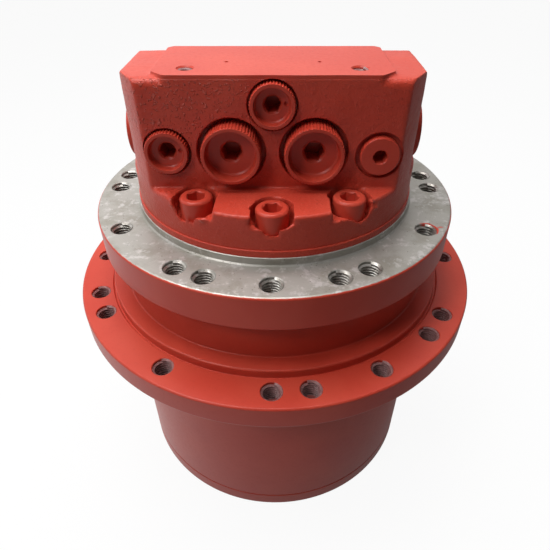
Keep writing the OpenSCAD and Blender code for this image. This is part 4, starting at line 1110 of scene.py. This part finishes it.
def rayKinds(tree):
    # 1 for what the camera or glass sees, and 1 for mirrors
    path = Signal(tree).node("ShaderNodeLightPath").socket.node
    seen, glass, glossy = (Signal(tree, path.outputs[kind])
                           for kind in ("Is Camera Ray", "Is Transmission Ray", "Is Glossy Ray"))
    return seen.maths("MAXIMUM", glass), glossy


def makeFloor():
    # pale where it is seen, with the drive's shadow, and greyer for the light that it throws back
    clearSelection()
    bpy.ops.mesh.primitive_plane_add(size=2 * studio["floorHalf"], location=(0, 0, 0))
    floor = settle(justAdded("floor"))
    material = bpy.data.materials.new("paleFloor")
    material.use_nodes = True
    tree = material.node_tree
    tree.nodes.remove(tree.nodes["Principled BSDF"])
    start = Signal(tree)
    grey = start.node("ShaderNodeBsdfDiffuse", {"Color": studio["bounce"]})
    pale = start.node("ShaderNodeBsdfDiffuse", {"Color": studio["floorColour"]})
    white = start.node("ShaderNodeEmission", {"Color": (1, 1, 1, 1), "Strength": 1.0})
    shown = start.node("ShaderNodeMixShader", {0: studio["floorWhite"], 1: pale, 2: white})
    camera, glossy = rayKinds(tree)
    across = start.node("ShaderNodeSeparateXYZ", {0: start.node("ShaderNodeTexCoord", out=3)})
    near, far, depth = studio["dimRight"]  # mirrors see a darker right side
    share = camera.maths("MAXIMUM", glossy * (1 - across.step(near, far) * depth))
    mixed = start.node("ShaderNodeMixShader", {0: share, 1: grey, 2: shown})
    tree.links.new(mixed.socket, tree.nodes["Material Output"].inputs["Surface"])
    floor.data.materials.append(material)


def makeLight():
    # a pale room, darker in front of the drive and a little brighter on its left
    s = studio
    world = bpy.data.worlds.new("paleRoom")
    bpy.context.scene.world = world
    world.use_nodes = True
    tree = world.node_tree
    start = Signal(tree)
    parts = start.node("ShaderNodeSeparateXYZ", {0: start.node("ShaderNodeTexCoord")}).socket.node
    x = Signal(tree, parts.outputs[0])
    y = Signal(tree, parts.outputs[1])
    strength = (y.step(-0.75, 0.35) * (s["back"] - s["front"]) + s["front"]) * (1 - x * s["leftLean"])
    camera, glossy = rayKinds(tree)
    share = glossy * (1 - s["diffuseShare"]) + s["diffuseShare"]
    share = share * (1 - glossy * x.step(0.05, 0.4) * s["rightDip"])
    room = start.node("ShaderNodeBackground", {"Color": (1, 1, 1, 1), "Strength": strength * share})
    white = start.node("ShaderNodeBackground", {"Color": (1, 1, 1, 1), "Strength": 1.0})
    mixed = start.node("ShaderNodeMixShader", {0: camera, 1: room, 2: white})
    tree.links.new(mixed.socket, tree.nodes["World Output"].inputs["Surface"])
    aim = Vector(s["aim"])
    for name, place, width, height, watts in s["lamps"]:
        bpy.ops.object.light_add(type="AREA", location=place)
        lamp = bpy.context.object
        lamp.name = name
        lamp.data.shape = "RECTANGLE"
        lamp.data.size = width
        lamp.data.size_y = height
        lamp.data.energy = watts
        lamp.rotation_euler = (aim - Vector(place)).to_track_quat("-Z", "Y").to_euler()


makeFloor()
makeLight()
bpy.context.scene.view_settings.view_transform = "Standard"
print("camera, floor and light ready")
